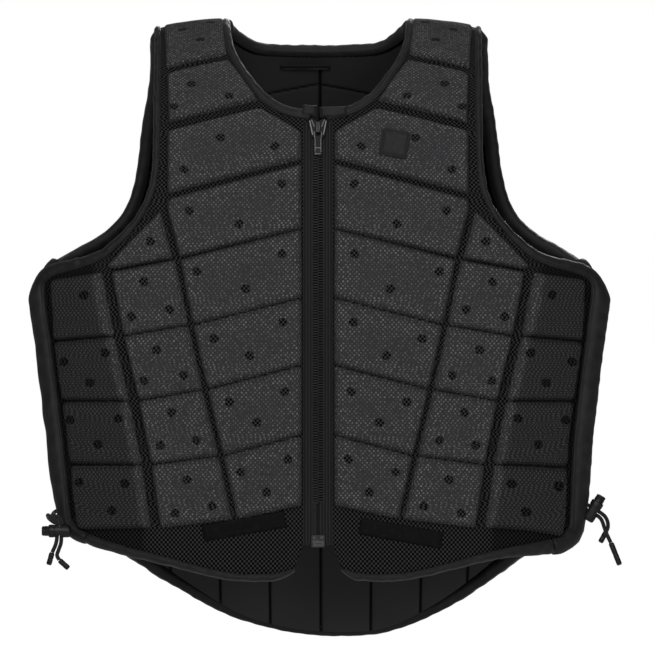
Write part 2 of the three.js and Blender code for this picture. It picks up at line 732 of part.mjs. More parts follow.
// Joins a grid to its mirror image over a spine column, which starts at the neckline
function wholeBack(grid, spineStops) {
  const twins = new Map();
  const twinOf = (node) => {
    if (!twins.has(node)) twins.set(node, { ...node, x: -node.x });
    return twins.get(node);
  };
  const width = grid.starts[3];
  const spine = spineStops.length - 1;
  const nodes = grid.nodes.map((row, j) => {
    const full = [];
    row.forEach((node, i) => {
      full[width - i] = twinOf(node);
      full[width + spine + i] = node;
    });
    const last = j === grid.nodes.length - 1;
    for (let k = 1; k < spine; k += 1) {
      const reach = 2 * spineStops[k] - 1;
      full[width + k] = {
        x: reach * row[0].x,
        w: row[0].w - (last ? tailSag * frontLength * (1 - reach * reach) : 0),
        raised: grid.lines[j].raised && k > 0 && k < spine,
      };
    }
    return full;
  });
  const cells = [];
  for (const [j, i] of grid.cells) cells.push([j, width - i - 1], [j, width + spine + i]);
  const neckline = grid.lines.findIndex((line) => line.last);
  for (let j = neckline; j + 1 < grid.lines.length; j += 1) {
    for (let k = 0; k < spine; k += 1) cells.push([j, width + k]);
  }
  return { ...grid, nodes, cells, width, spine, neckline };
}

const spineBevel = padBevel / (2 * backReach('inner', 0.5));
const back = wholeBack(backGrid, [0, spineBevel, 0.5, 1 - spineBevel, 1]);
addPiece('back_panel', paddedPanel(back), meshCloth);

const backCentre = back.width;
const backNeckPlaces = [
  ...placesDown(back, backCentre + back.spine, 0, backNape),
  ...placesAcross(back, backNape, backCentre + back.spine - 1, backCentre),
  ...placesDown(back, backCentre, 0, backNape - 1).reverse(),
];
const backNeckFrames = edgeFrames(backNeckPlaces, 1, -1);
const backNeckRun = frameRun(backNeckFrames, 0, backNeckPlaces.length - 1);
addPiece('back_neck_binding', edgeBinding(backNeckRun, () => neckBinding), tapeCloth);

const backBlades = lineOf(backGrid, 'blades');
const backEdgeRight = [
  ...placesDown(backGrid, backGrid.starts[1], 0, backBlades),
  ...placesDown(backGrid, backGrid.starts[2], backBlades + 1, backArmpit),
  ...placesAcross(backGrid, backArmpit, backGrid.starts[2] + 1, backOuter),
  ...placesDown(backGrid, backOuter, backArmpit + 1, backEnd),
  ...placesAcross(backGrid, backEnd, backOuter - 1, 1),
];
const backEdgeFrames = edgeFrames(backEdgeRight, 1, 1);
const backCorner = backEdgeRight.indexOf(backGrid.nodes[backArmpit][backOuter]);
const backHemCorner = backEdgeRight.indexOf(backGrid.nodes[backEnd][backOuter]);
const backParts = [
  { stem: 'back_armhole_binding', from: 0, to: backCorner - 1, width: armBinding },
  { stem: 'back_side_binding', from: backCorner - 1, to: backHemCorner + 1, width: sideBinding },
];
for (const part of backParts) {
  const count = part.to - part.from;
  const widthOf = (k) => (k === 0 || k === count ? Math.min(part.width, hemBinding) : part.width);
  addPair(part.stem, edgeBinding(frameRun(backEdgeFrames, part.from, part.to), widthOf), tapeCloth);
}
const tailPlaces = placesAcross(back, backEnd, backCentre + back.spine + backOuter, backCentre - backOuter);
const tailFrames = edgeFrames(tailPlaces, 1, 1);
const tailRun = frameRun(tailFrames, 1, tailPlaces.length - 2);
addPiece('tail_binding', edgeBinding(tailRun, () => hemBinding), tapeCloth);

// Back lining: inner cloth under the whole back, inside its bindings
const liningGrid = panelGrid({
  rows: backRows, side: 1, reachOf: backReach, firstColumn: 1, wholeRows: ['blades'], plain: true,
});
const lining = wholeBack(liningGrid, [0, 0.5, 1]);
function liningRise(depth) {
  return -(seamThickness + liningGap + depth);
}
// Keeps the lining's edge inside the panel's
function liningNode(node) {
  const reach = Math.abs(node.x);
  const x = Math.sign(node.x) * (reach > strapInner ? reach - liningInset : reach + node.nearNeck);
  return { x, w: node.w + liningInset * (node.atHem - node.atTop) };
}
lining.nodes.forEach((row, j) => row.forEach((node) => {
  node.atHem = j === lining.nodes.length - 1 ? 1 : 0;
  node.atTop = j === lining.neckline && Math.abs(node.x) < strapInner ? 1 : 0;
  node.nearNeck = j < lining.neckline ? liningInset : 0;
}));
addPiece('back_lining', gridSolid(
  (j, i) => lining.nodes[j][i],
  lining.cells,
  (node) => offsetPoint(liningNode(node).x, liningNode(node).w, 1, liningRise(0)),
  (node) => offsetPoint(liningNode(node).x, liningNode(node).w, 1, liningRise(liningThickness)),
  true,
), liningCloth);

// Zip: tapes and teeth follow the front edges from the slider to the hem
const zipHeights = frontGrid.nodes.slice(zipTopLine).filter((_, k) => k % 2 === 0).map((row) => row[0].w);
const alongCentre = (drop) => alongAt(0, drop);
const zipTop = alongCentre(zipDrop);
const chainTop = alongCentre(zipDrop + 0.75 * sliderLength);
const boxTop = zipHeights[zipHeights.length - 1] + boxLength + boxMargin;
function ribbon(heights, from, to, top, bottom) {
  return sweptSolid(heights.map((w) => [
    offsetPoint(from, w, -1, top),
    offsetPoint(to, w, -1, top),
    offsetPoint(to, w, -1, bottom),
    offsetPoint(from, w, -1, bottom),
  ]));
}
const tapeHeights = [zipTop, ...zipHeights];
addPair('zip_tape', ribbon(
  tapeHeights, chainHalf + clearance, zipClear - clearance, -tapeSink, -tapeSink - tapeThickness,
), tapeCloth);
const chainHeights = [
  chainTop,
  ...zipHeights.filter((w) => w < chainTop - padBevel && w > boxTop + padBevel),
  boxTop + clearance,
];
const chainFace = chainProud - tapeSink;
addPair('zip_teeth', ribbon(
  chainHeights, clearance / 2, chainHalf, chainFace, chainFace - chainThickness,
), plastic);

// Small rigid pieces on the front stand in a frame: X across, Y up along the panel, Z out
function standOn(mesh, x, w, side, rise, turn = 0) {
  const frame = faceFrame(x, w, side);
  const out = frame.out;
  const across = new THREE.Vector3().crossVectors(frame.up, out).normalize();
  const up = new THREE.Vector3().crossVectors(out, across);
  mesh.position.copy(frame.point).addScaledVector(out, rise);
  mesh.quaternion.setFromRotationMatrix(new THREE.Matrix4().makeBasis(across, up, out));
  mesh.rotateZ(turn);
}
function block(width, height, depth, y, z) {
  return moved(new THREE.BoxGeometry(width, height, depth), 0, y, z + depth / 2);
}
function joined(first, ...others) {
  return geometryOf(others.reduce((solid, other) => solid.add(solidOf(other)), solidOf(first)));
}

// Slider: shouldered plate with an arch that the pull hangs in
const half = sliderLength / 2;
const sliderOutline = new THREE.Shape([
  new THREE.Vector2(-0.7 * sliderHalf, half),
  new THREE.Vector2(-sliderHalf, 0.75 * half),
  new THREE.Vector2(-sliderHalf, 0.1 * half),
  new THREE.Vector2(-0.72 * sliderHalf, -half),
  new THREE.Vector2(0.72 * sliderHalf, -half),
  new THREE.Vector2(sliderHalf, 0.1 * half),
  new THREE.Vector2(sliderHalf, 0.75 * half),
  new THREE.Vector2(0.7 * sliderHalf, half),
]);
const sliderPlate = new THREE.ExtrudeGeometry(sliderOutline, { depth: plateThickness, bevelEnabled: false });
const archTop = plateThickness + archClear;
const slider = addPiece('zip_slider', joined(
  sliderPlate,
  block(archWidth, archLeg, archClear + archLeg + 0.5, archUpper, plateThickness - 0.5),
  block(archWidth, archLeg, archClear + archLeg + 0.5, archLower, plateThickness - 0.5),
  block(archWidth, archUpper - archLower, archLeg, (archUpper + archLower) / 2, archTop),
), paintedMetal);
const sliderHeight = alongCentre(zipDrop + half);
const sliderRise = chainFace + clearance;
standOn(slider, 0, sliderHeight, -1, sliderRise);

// Pull: a plate with a hole round the arch; its top bar lies under the arch and is the hinge
const barHeight = archTop - archClear / 2;
const barPlace = archLower + archLeg / 2 + barHalf + clearance;
const pullOutline = new THREE.Shape([
  new THREE.Vector2(-0.5 * pullWidth, barHalf - 1),
  new THREE.Vector2(-0.35 * pullWidth, barHalf),
  new THREE.Vector2(0.35 * pullWidth, barHalf),
  new THREE.Vector2(0.5 * pullWidth, barHalf - 1),
  new THREE.Vector2(0.5 * pullWidth, barHalf - pullLength + 2),
  new THREE.Vector2(0.3 * pullWidth, barHalf - pullLength),
  new THREE.Vector2(-0.3 * pullWidth, barHalf - pullLength),
  new THREE.Vector2(-0.5 * pullWidth, barHalf - pullLength + 2),
]);
const eyeHalf = archWidth / 2 + 0.7;
pullOutline.holes.push(new THREE.Path([
  new THREE.Vector2(-eyeHalf, -barHalf),
  new THREE.Vector2(-eyeHalf, -barHalf - eyeLength),
  new THREE.Vector2(eyeHalf, -barHalf - eyeLength),
  new THREE.Vector2(eyeHalf, -barHalf),
]));
const pullPlate = new THREE.ExtrudeGeometry(pullOutline, { depth: pullThickness, bevelEnabled: false });
const pull = addPiece('zip_pull', moved(pullPlate, 0, 0, -pullThickness / 2), paintedMetal);
standOn(pull, 0, sliderHeight, -1, sliderRise);
pull.translateY(barPlace);
pull.translateZ(barHeight);

// Box at the foot of the zip
const box = addPiece('zip_box', new THREE.BoxGeometry(2 * boxHalf, boxLength, boxThickness), paintedMetal);
standOn(box, 0, boxTop - boxLength / 2, -1, clearance - tapeSink + boxThickness / 2);

// Strip of cloth laid on a panel along a straight line, turned about its middle
function strip({ x, drop, side, length, height, thickness, rise, turn, steps }) {
  const middle = alongAt(x, drop);
  const rings = [];
  for (let k = 0; k <= steps; k += 1) {
    const run = length * (k / steps - 0.5);
    const corner = (level, lift) => offsetPoint(
      x + run * Math.cos(turn) - level * Math.sin(turn),
      middle + run * Math.sin(turn) + level * Math.cos(turn),
      side,
      lift,
    );
    rings.push([
      corner(height / 2, rise),
      corner(height / 2, rise + thickness),
      corner(-height / 2, rise + thickness),
      corner(-height / 2, rise),
    ]);
  }
  return sweptSolid(rings);
}
addPiece('zip_top_tab', strip({
  x: 0, drop: tabDrop, side: -1, length: 2 * tabHalf, height: tabHeight, thickness: tabThickness,
  rise: bindingTop + clearance, turn: 0, steps: 6,
}), tapeCloth);
addPiece('hem_label_left', strip({
  x: leftLabel.x * chestHalf, drop: leftLabel.down * frontLength, side: -1, length: labelLength,
  height: labelHeight, thickness: labelThickness, rise: clearance, turn: -labelTurn, steps: 6,
}), rubber);
addPiece('hem_label_right', strip({
  x: -rightLabel.x * chestHalf, drop: rightLabel.down * frontLength, side: -1, length: labelLength,
  height: labelHeight, thickness: labelThickness, rise: clearance, turn: labelTurn, steps: 6,
}), rubber);
addPiece('neck_label', strip({
  x: -neckLabel.x * chestHalf, drop: neckLabel.down * frontLength, side: 1, length: neckLabelLength,
  height: neckLabelHeight, thickness: labelThickness,
  rise: liningRise(liningThickness + neckLabelLift + labelThickness), turn: 0, steps: 4,
}), liningCloth);

const badgeOutline = new THREE.Shape();
const badgeHalf = badgeSide / 2 - badgeCorner;
const badgeCorners = [[1, 1, 0], [-1, 1, 0.5], [-1, -1, 1], [1, -1, 1.5]];
badgeCorners.forEach(([sx, sy, quarter]) => badgeOutline.absarc(
  sx * badgeHalf, sy * badgeHalf, badgeCorner, quarter * Math.PI, (quarter + 0.5) * Math.PI,
));
const badge = addPiece('chest_badge', new THREE.ExtrudeGeometry(badgeOutline, {
  depth: badgeThickness, bevelEnabled: false, curveSegments: 2,
}), rubber);
standOn(badge, badgePlace.x * chestHalf, alongAt(0, badgePlace.down * frontLength), -1,
  padRise + badgeLift, badgeTurn);

// Frame on the side edge of the front or back at a drop, as shares of frontLength
function sideFrame(side, down) {
  const reachOf = side < 0 ? frontReach : backReach;
  const placeAt = (share) => {
    const x = reachOf('outer', share);
    return { x, w: alongAt(x, share * frontLength) };
  };
  const span = 0.02;
  const frames = edgeFrames([placeAt(down - span), placeAt(down), placeAt(down + span)], side, side);
  return frames[1];
}
function sidePoint(side, down, aside, rise, along = 0) {
  const frame = sideFrame(side, down);
  const run = new THREE.Vector3().crossVectors(frame.out, frame.aside).multiplyScalar(side);
  return frame.point.clone().addScaledVector(frame.aside, aside).addScaledVector(frame.out, rise)
    .addScaledVector(run, along);
}

// Looped tape sewn under the side binding
const loopTapeTop = -bindingBottom - clearance;
const loopRise = loopTapeTop - loopTapeThickness - loopHalf + 0.6;
const lacePitch = (laceBottom - laceTop) / (laceLoops - 1);
function loopDown(side, k) {
  return laceTop + lacePitch * (k + (side < 0 ? 0 : 0.5));
}
function loopedTape(side) {
  const from = loopDown(side, 0) - 0.3 * lacePitch;
  const to = loopDown(side, laceLoops - 1) + 0.3 * lacePitch;
  const steps = 2 * laceLoops;
  const rings = [];
  for (let k = 0; k <= steps; k += 1) {
    const down = THREE.MathUtils.lerp(from, to, k / steps);
    rings.push([
      sidePoint(side, down, loopTapeInner, loopTapeTop),
      sidePoint(side, down, loopTapeOuter, loopTapeTop),
      sidePoint(side, down, loopTapeOuter, loopTapeTop - loopTapeThickness),
      sidePoint(side, down, loopTapeInner, loopTapeTop - loopTapeThickness),
    ]);
  }
  const square = (reach) => [[-1, 1], [-1, -1], [1, -1], [1, 1]]
    .map(([sx, sy]) => new THREE.Vector2(sx * reach, sy * reach));
  const outline = new THREE.Shape(square(loopHalf));
  outline.holes.push(new THREE.Path(square(loopEye)));
  const ring = new THREE.ExtrudeGeometry(outline, { depth: loopWidth, bevelEnabled: false });
  ring.translate(0, 0, -loopWidth / 2);
  const loops = Array.from({ length: laceLoops }, (_, k) => {
    const frame = sideFrame(side, loopDown(side, k));
    const run = new THREE.Vector3().crossVectors(frame.aside, frame.out);
    const centre = sidePoint(side, loopDown(side, k), loopReach, loopRise);
    const basis = new THREE.Matrix4().makeBasis(frame.aside, frame.out, run).setPosition(centre);
    return ring.clone().applyMatrix4(basis);
  });
  return joined(sweptSolid(rings), ...loops);
}
addPair('front_lace_loops', loopedTape(-1), tapeCloth);
addPair('back_lace_loops', loopedTape(1), tapeCloth);

// One elastic lace zigzags down through the loops
const lacePoint = (side, k, along) => sidePoint(side, loopDown(side, k), loopReach, loopRise, along);
const loopLeg = loopWidth / 2 + 0.6 * cordDiameter;
const laceRoute = [];
for (let k = 0; k < laceLoops; k += 1) {
  for (const side of [-1, 1]) {
    laceRoute.push(lacePoint(side, k, -loopLeg), lacePoint(side, k, 0), lacePoint(side, k, loopLeg));
  }
}
addPair('side_lace', cordTube(laceRoute, laceDiameter, 8, 3.3 * laceDiameter), cordCloth);

// Cord locks: barrel with a cross hole for two cords and a recess for the button.
// In its own frame Y runs out of the button's end and the cross hole runs along X.
const recess = buttonIn + buttonTravel + clearance;
const innerRadius = buttonRadius + clearance / 2;
const barrelProfile = [
  [0, -barrelLength], [0.8 * barrelRadius, -barrelLength], [barrelRadius, -barrelLength + 2],
  [barrelRadius, -1], [barrelRadius - 0.8, 0], [innerRadius, 0], [innerRadius, -recess], [0, -recess],
].map(([r, y]) => new THREE.Vector2(r, y));
const slot = new THREE.Shape();
slot.absarc(0, barrelHole - barrelHoleHalf, barrelHoleHalf, 0, Math.PI);
slot.absarc(0, barrelHoleHalf - barrelHole, barrelHoleHalf, Math.PI, 2 * Math.PI);
const slotCutter = new THREE.ExtrudeGeometry(slot, {
  depth: 4 * barrelRadius, bevelEnabled: false, curveSegments: 3,
});
slotCutter.translate(0, 0, -2 * barrelRadius).rotateY(Math.PI / 2).translate(0, -barrelHolePlace, 0);
const barrel = geometryOf(solidOf(new THREE.LatheGeometry(barrelProfile, 10)).subtract(solidOf(slotCutter)));
const button = new THREE.LatheGeometry([
  [0, -buttonIn], [buttonRadius, -buttonIn], [buttonRadius, buttonOut - 1.5],
  [0.7 * buttonRadius, buttonOut], [0, buttonOut],
].map(([r, y]) => new THREE.Vector2(r, y)), 10);
// Place told from where the cords hang on that side
function hung(side, [x, y, z]) {
  const reach = (side === 'left' ? 1 : -1) * hangReach * chestHalf;
  return new THREE.Vector3(reach + x, y, -hangDown * frontLength + z);
}
const locks = [
  { side: 'left', place: leftLock, turn: leftLockTurn },
  { side: 'right', place: rightLock, turn: -Math.PI / 2 },
];
for (const lock of locks) {
  const end = hung(lock.side, lock.place);
  for (const [stem, geometry] of [['cord_lock_barrel', barrel], ['cord_lock_button', button]]) {
    const mesh = addPiece(`${stem}_${lock.side}`, geometry, plastic);
    mesh.position.copy(end);
    mesh.rotation.set(Math.PI / 2, lock.turn, 0, 'YXZ');
  }
}

// Cords through the locks, each with a moulded tip
for (const [name, route] of Object.entries(cordRoutes)) {
  const side = name.split('_')[1];
  const points = route.map((place) => hung(side, place));
  addPiece(`cord_${name}`, cordTube(points, cordDiameter, 8, 2.5 * cordDiameter), cordCloth);
  const last = points[points.length - 1];
  const run = hung(side, tipEnds[name]).sub(last);
  const length = run.length() - tipStart;
  const direction = run.normalize();
  const tipProfile = [
    [0, 0], [tipRadius, 0], [tipRadius, length - 2], [0.7 * tipRadius, length], [0, length],
  ].map(([r, y]) => new THREE.Vector2(r, y));
  const tip = addPiece(`cord_tip_${name}`, new THREE.LatheGeometry(tipProfile, 8), plastic);
  tip.position.copy(last).addScaledVector(direction, tipStart);
  tip.quaternion.setFromUnitVectors(new THREE.Vector3(0, 1, 0), direction);
}

export default protector;
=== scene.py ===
# Riding body protector: padded mesh vest in its worn form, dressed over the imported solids.
# Sizes are in millimetres until a mesh is made. The front faces -Y and the wearer's left is +X.
import math

import bmesh
import bpy
import numpy as np
from mathutils import Matrix, Vector


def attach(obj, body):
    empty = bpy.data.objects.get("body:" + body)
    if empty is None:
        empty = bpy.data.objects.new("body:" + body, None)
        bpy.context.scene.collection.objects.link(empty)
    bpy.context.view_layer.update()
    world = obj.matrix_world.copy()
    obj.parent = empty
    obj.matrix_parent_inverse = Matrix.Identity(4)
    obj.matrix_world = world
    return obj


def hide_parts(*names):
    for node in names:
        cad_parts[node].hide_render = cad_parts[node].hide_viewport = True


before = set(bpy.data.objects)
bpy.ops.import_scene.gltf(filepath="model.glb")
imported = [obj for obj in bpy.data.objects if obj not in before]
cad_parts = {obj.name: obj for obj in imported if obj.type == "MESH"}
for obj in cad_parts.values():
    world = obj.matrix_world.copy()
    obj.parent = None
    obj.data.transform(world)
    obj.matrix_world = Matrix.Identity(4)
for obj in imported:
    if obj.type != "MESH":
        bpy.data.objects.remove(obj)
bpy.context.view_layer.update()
print("frame loaded:", len(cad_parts), "solids")

mm = 0.001

# the photograph's frame, in its own pixels
photo = {
    "pixels": 655,
    "mmPerPixel": 1.0,
    "centreColumn": 318.0,    # column of the vest's centre plane
    "datumRow": 45.0,         # row of the datum
    "distance": 12.0,         # metres from the front of the chest
    "chestFront": -0.085,
    "sensor": 36.0,
    "clip": (0.5, 60),
}


def makeCamera():
    field = photo["pixels"] * photo["mmPerPixel"] * mm
    data = bpy.data.cameras.new("photoCamera")
    data.sensor_width = photo["sensor"]
    data.lens = photo["sensor"] * photo["distance"] / field
    data.clip_start, data.clip_end = photo["clip"]
    camera = bpy.data.objects.new("photoCamera", data)
    bpy.context.scene.collection.objects.link(camera)
    middle = photo["pixels"] / 2
    camera.location = (
        (middle - photo["centreColumn"]) * photo["mmPerPixel"] * mm,
        photo["chestFront"] - photo["distance"],
        (photo["datumRow"] - middle) * photo["mmPerPixel"] * mm,
    )
    camera.rotation_euler = (math.radians(90), 0, 0)
    bpy.context.scene.camera = camera


makeCamera()
print("camera placed")

rootBody = "vest"
hands = ((1, "left"), (-1, "right"))


def newObject(name, points, faces, uv=None, shares=None, smooth=True):
    mesh = bpy.data.meshes.new(name)
    flat = np.asarray(points, float).reshape(-1, 3) * mm
    mesh.from_pydata(flat.tolist(), [], faces)
    if uv is not None:
        layer = mesh.uv_layers.new(name="cloth")
        corners = np.zeros(len(mesh.loops), np.int32)
        mesh.loops.foreach_get("vertex_index", corners)
        layer.data.foreach_set("uv", np.asarray(uv, float).reshape(-1, 2)[corners].ravel())
    for key, values in (shares or {}).items():
        attribute = mesh.attributes.new(key, "FLOAT", "POINT")
        attribute.data.foreach_set("value", np.asarray(values, np.float32).ravel())
    mesh.polygons.foreach_set("use_smooth", [smooth] * len(mesh.polygons))
    made = bpy.data.objects.new(name, mesh)
    bpy.context.scene.collection.objects.link(made)
    return made


def gridFaces(rows, columns, flip=False, closed=False, start=0):
    wide = columns if closed else columns - 1
    j, i = np.meshgrid(np.arange(rows - 1), np.arange(wide), indexing="ij")
    a = j * columns + i
    b = j * columns + (i + 1) % columns
    quads = np.stack([a, a + columns, b + columns, b], -1).reshape(-1, 4) + start
    if flip:
        quads = quads[:, ::-1]
    return quads.tolist()


def dress(made, material, node=None, body=rootBody):
    made.data.materials.append(material)
    if node:
        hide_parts(*([node] if isinstance(node, str) else node))
    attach(made, body)
    return made


def unit(v):
    return v / np.maximum(np.linalg.norm(v, axis=-1, keepdims=True), 1e-9)


def ease(share):
    share = np.clip(share, 0, 1)
    return share * share * (3 - 2 * share)


def alongLine(points):
    # length run up to each point of a line
    return np.r_[0, np.cumsum(np.linalg.norm(np.diff(points, axis=0), axis=1))]


def sweep(name, centres, sideways, outward, profile, closed=True, caps=True):
    # profile rows are (sideways, outward); stations carry their own axes
    profile = np.asarray(profile, float)
    if profile.ndim == 2:
        profile = np.repeat(profile[None], len(centres), 0)
    rings = (centres[:, None] + profile[..., :1] * sideways[:, None]
             + profile[..., 1:2] * outward[:, None])
    uv = np.stack(np.broadcast_arrays(alongLine(profile[0])[None, :], alongLine(centres)[:, None]), -1)
    if caps:
        ends = [rings[0].mean(0, keepdims=True).repeat(rings.shape[1], 0),
                rings[-1].mean(0, keepdims=True).repeat(rings.shape[1], 0)]
        rings = np.concatenate([ends[0][None], rings, ends[1][None]])
        uv = np.concatenate([uv[:1], uv, uv[-1:]])
    faces = gridFaces(rings.shape[0], rings.shape[1], closed=closed)
    return newObject(name, rings, faces, uv)


def tubeFrames(path):
    run = unit(np.gradient(path, axis=0))
    side = np.zeros_like(path)
    start = np.cross(run[0], [0.3, 0.9, 0.2])
    side[0] = start / np.linalg.norm(start)
    for k in range(1, len(path)):
        v = side[k - 1] - run[k] * np.dot(side[k - 1], run[k])
        side[k] = v / np.linalg.norm(v)
    return run, side, np.cross(run, side)


def tube(name, path, radius, sides=16):
    path = np.asarray(path, float)
    run, side, out = tubeFrames(path)
    turn = np.linspace(0, 2 * np.pi, sides + 1)
    ring = np.stack([np.cos(turn), np.sin(turn)], -1) * radius
    profile = np.repeat(ring[None], len(path), 0)
    made = sweep(name, path, side, out, profile, closed=False)
    fixNormals(made)
    return made


def lathe(name, profile, place, axis, sides, aside):
    axis = unit(np.asarray(axis, float))
    first = np.asarray(aside, float)
    first = unit(first - axis * np.dot(first, axis))
    second = np.cross(axis, first)
    turn = np.linspace(0, 2 * np.pi, sides + 1)
    profile = np.asarray(profile, float)
    circle = np.cos(turn)[:, None] * first + np.sin(turn)[:, None] * second
    points = np.asarray(place, float) + profile[:, :1, None] * circle + profile[:, 1, None, None] * axis
    uv = np.stack(np.broadcast_arrays(turn[None, :] * profile[:, 0].max(), alongLine(profile)[:, None]), -1)
    made = newObject(name, points, gridFaces(len(profile), sides + 1), uv)
    weld(made)
    fixNormals(made)
    return made


def weld(made):
    work = bmesh.new()
    work.from_mesh(made.data)
    bmesh.ops.remove_doubles(work, verts=work.verts, dist=0.02 * mm)
    work.to_mesh(made.data)
    work.free()


def fixNormals(made):
    work = bmesh.new()
    work.from_mesh(made.data)
    bmesh.ops.recalc_face_normals(work, faces=work.faces)
    work.to_mesh(made.data)
    work.free()


def roundedLine(points, rounds):
    line = np.asarray(points, float)
    for _ in range(rounds):
        cut = np.stack([0.75 * line[:-1] + 0.25 * line[1:], 0.25 * line[:-1] + 0.75 * line[1:]], 1)
        line = np.concatenate([line[:1], cut.reshape(-1, line.shape[1]), line[-1:]])
    return line


def smoothRoute(points, step):
    # centripetal curve through the points, resampled evenly
    p = [np.asarray(q, float) for q in points]
    p = [2 * p[0] - p[1]] + p + [2 * p[-1] - p[-2]]
    out = []
    for a, b, c, d in zip(p, p[1:], p[2:], p[3:]):
        t1 = math.sqrt(np.linalg.norm(b - a))
        t2 = t1 + math.sqrt(np.linalg.norm(c - b))
        t3 = t2 + math.sqrt(np.linalg.norm(d - c))
        for t in np.linspace(t1, t2, 24, endpoint=False):
            ab = a * (t1 - t) / t1 + b * t / t1
            bc = b * (t2 - t) / (t2 - t1) + c * (t - t1) / (t2 - t1)
            cd = c * (t3 - t) / (t3 - t2) + d * (t - t2) / (t3 - t2)
            abc = ab * (t2 - t) / t2 + bc * t / t2
            bcd = bc * (t3 - t) / (t3 - t1) + cd * (t - t1) / (t3 - t1)
            out.append(abc * (t2 - t) / (t2 - t1) + bcd * (t - t1) / (t2 - t1))
    out = np.array(out + [p[-2]])
    along = alongLine(out)
    count = max(int(round(along[-1] / step)), 2)
    at = np.linspace(0, along[-1], count + 1)
    return np.stack([np.interp(at, along, out[:, k]) for k in range(3)], -1)


def ripple(x, y, size, seed):
    # smooth repeatable waviness, about -1 to 1
    pick = np.random.RandomState(seed)
    total = np.zeros(np.broadcast(x, y).shape)
    for _ in range(6):
        turn = pick.uniform(0, 2 * np.pi)
        phase = pick.uniform(0, 2 * np.pi)
        pitch = size * pick.uniform(0.7, 1.5)
        total += np.sin((x * np.cos(turn) + y * np.sin(turn)) * 2 * np.pi / pitch + phase)
    return total / 3.0


class Shade:
    # a small hand for wiring a node material
    def __init__(self, name, colour, rough, spec=0.5, metal=0.0, sheen=0.0):
        self.material = bpy.data.materials.new(name)
        self.material.use_nodes = True
        self.tree = self.material.node_tree
        self.shader = self.tree.nodes["Principled BSDF"]
        self.shader.inputs["Base Color"].default_value = (*colour, 1)
        self.shader.inputs["Roughness"].default_value = rough
        self.shader.inputs["Specular IOR Level"].default_value = spec
        self.shader.inputs["Metallic"].default_value = metal
        self.shader.inputs["Sheen Weight"].default_value = sheen

    def node(self, kind, **settings):
        made = self.tree.nodes.new(kind)
        for key, value in settings.items():
            setattr(made, key, value)
        return made

    def feed(self, value, socket):
        if isinstance(value, bpy.types.NodeSocket):
            self.tree.links.new(value, socket)
        else:
            socket.default_value = value

    def math(self, operation, a, b=0.0, c=0.0):
        made = self.node("ShaderNodeMath", operation=operation)
        for value, socket in zip((a, b, c), made.inputs):
            self.feed(value, socket)
        return made.outputs[0]

    def step(self, value, low, high):
        made = self.node("ShaderNodeMapRange", interpolation_type="SMOOTHSTEP")
        self.feed(value, made.inputs["Value"])
        made.inputs["From Min"].default_value = low
        made.inputs["From Max"].default_value = high
        return made.outputs["Result"]

    def spread(self, value, low, high):
        made = self.node("ShaderNodeMapRange")
        self.feed(value, made.inputs["Value"])
        made.inputs["To Min"].default_value = low
        made.inputs["To Max"].default_value = high
        return made.outputs["Result"]

    def uv(self):
        split = self.node("ShaderNodeSeparateXYZ")
        self.tree.links.new(self.node("ShaderNodeUVMap", uv_map="cloth").outputs[0], split.inputs[0])
        return split.outputs[0], split.outputs[1]

    def share(self, name):
        return self.node("ShaderNodeAttribute", attribute_name=name).outputs["Fac"]

    def noise(self, scale, detail):
        made = self.node("ShaderNodeTexNoise")
        self.tree.links.new(self.node("ShaderNodeTexCoord").outputs["Object"], made.inputs["Vector"])
        made.inputs["Scale"].default_value = scale
        made.inputs["Detail"].default_value = detail
        return made.outputs["Fac"]

    def mix(self, share, a, b):
        made = self.node("ShaderNodeMix", data_type="RGBA")
        self.feed(share, made.inputs["Factor"])
        for value, socket in ((a, made.inputs[6]), (b, made.inputs[7])):
            self.feed(value if isinstance(value, bpy.types.NodeSocket) else (*value, 1), socket)
        return made.outputs[2]

    def colour(self, socket):
        self.tree.links.new(socket, self.shader.inputs["Base Color"])

    def rough(self, socket):
        self.tree.links.new(socket, self.shader.inputs["Roughness"])

    def bump(self, height, distance, strength=1.0):
        made = self.node("ShaderNodeBump")
        self.feed(height, made.inputs["Height"])
        made.inputs["Distance"].default_value = distance * mm
        made.inputs["Strength"].default_value = strength
        self.tree.links.new(made.outputs[0], self.shader.inputs["Normal"])


def waves(shade, value, pitch, phase=0.0):
    return shade.math("COSINE", shade.math("MULTIPLY_ADD", value, 2 * math.pi / pitch, phase))


meshLook = {
    "across": 4.4,            # cell of the staggered holes
    "along": 4.7,
    "thread": (0.066, 0.066, 0.069),
    # painted shade: threads a little darker off the pads
    "threadShaded": (0.062, 0.062, 0.065),
    "foam": (0.225, 0.225, 0.233),
    "foamLow": (0.075, 0.076, 0.08),
    # painted highlight: paler foam for the pad bevels beside the grooves
    "foamBevelHighlight": (0.36, 0.36, 0.37),
    # painted shade: darker thread and foam for the side pads that turn away from the lamps
    "threadTurnedShade": (0.027, 0.027, 0.029),
    "foamTurnedShade": (0.085, 0.085, 0.09),
    # painted shade: near-black for mesh holes over the grooves, margins and vents
    "holeShade": (0.0012, 0.0012, 0.0014),
}


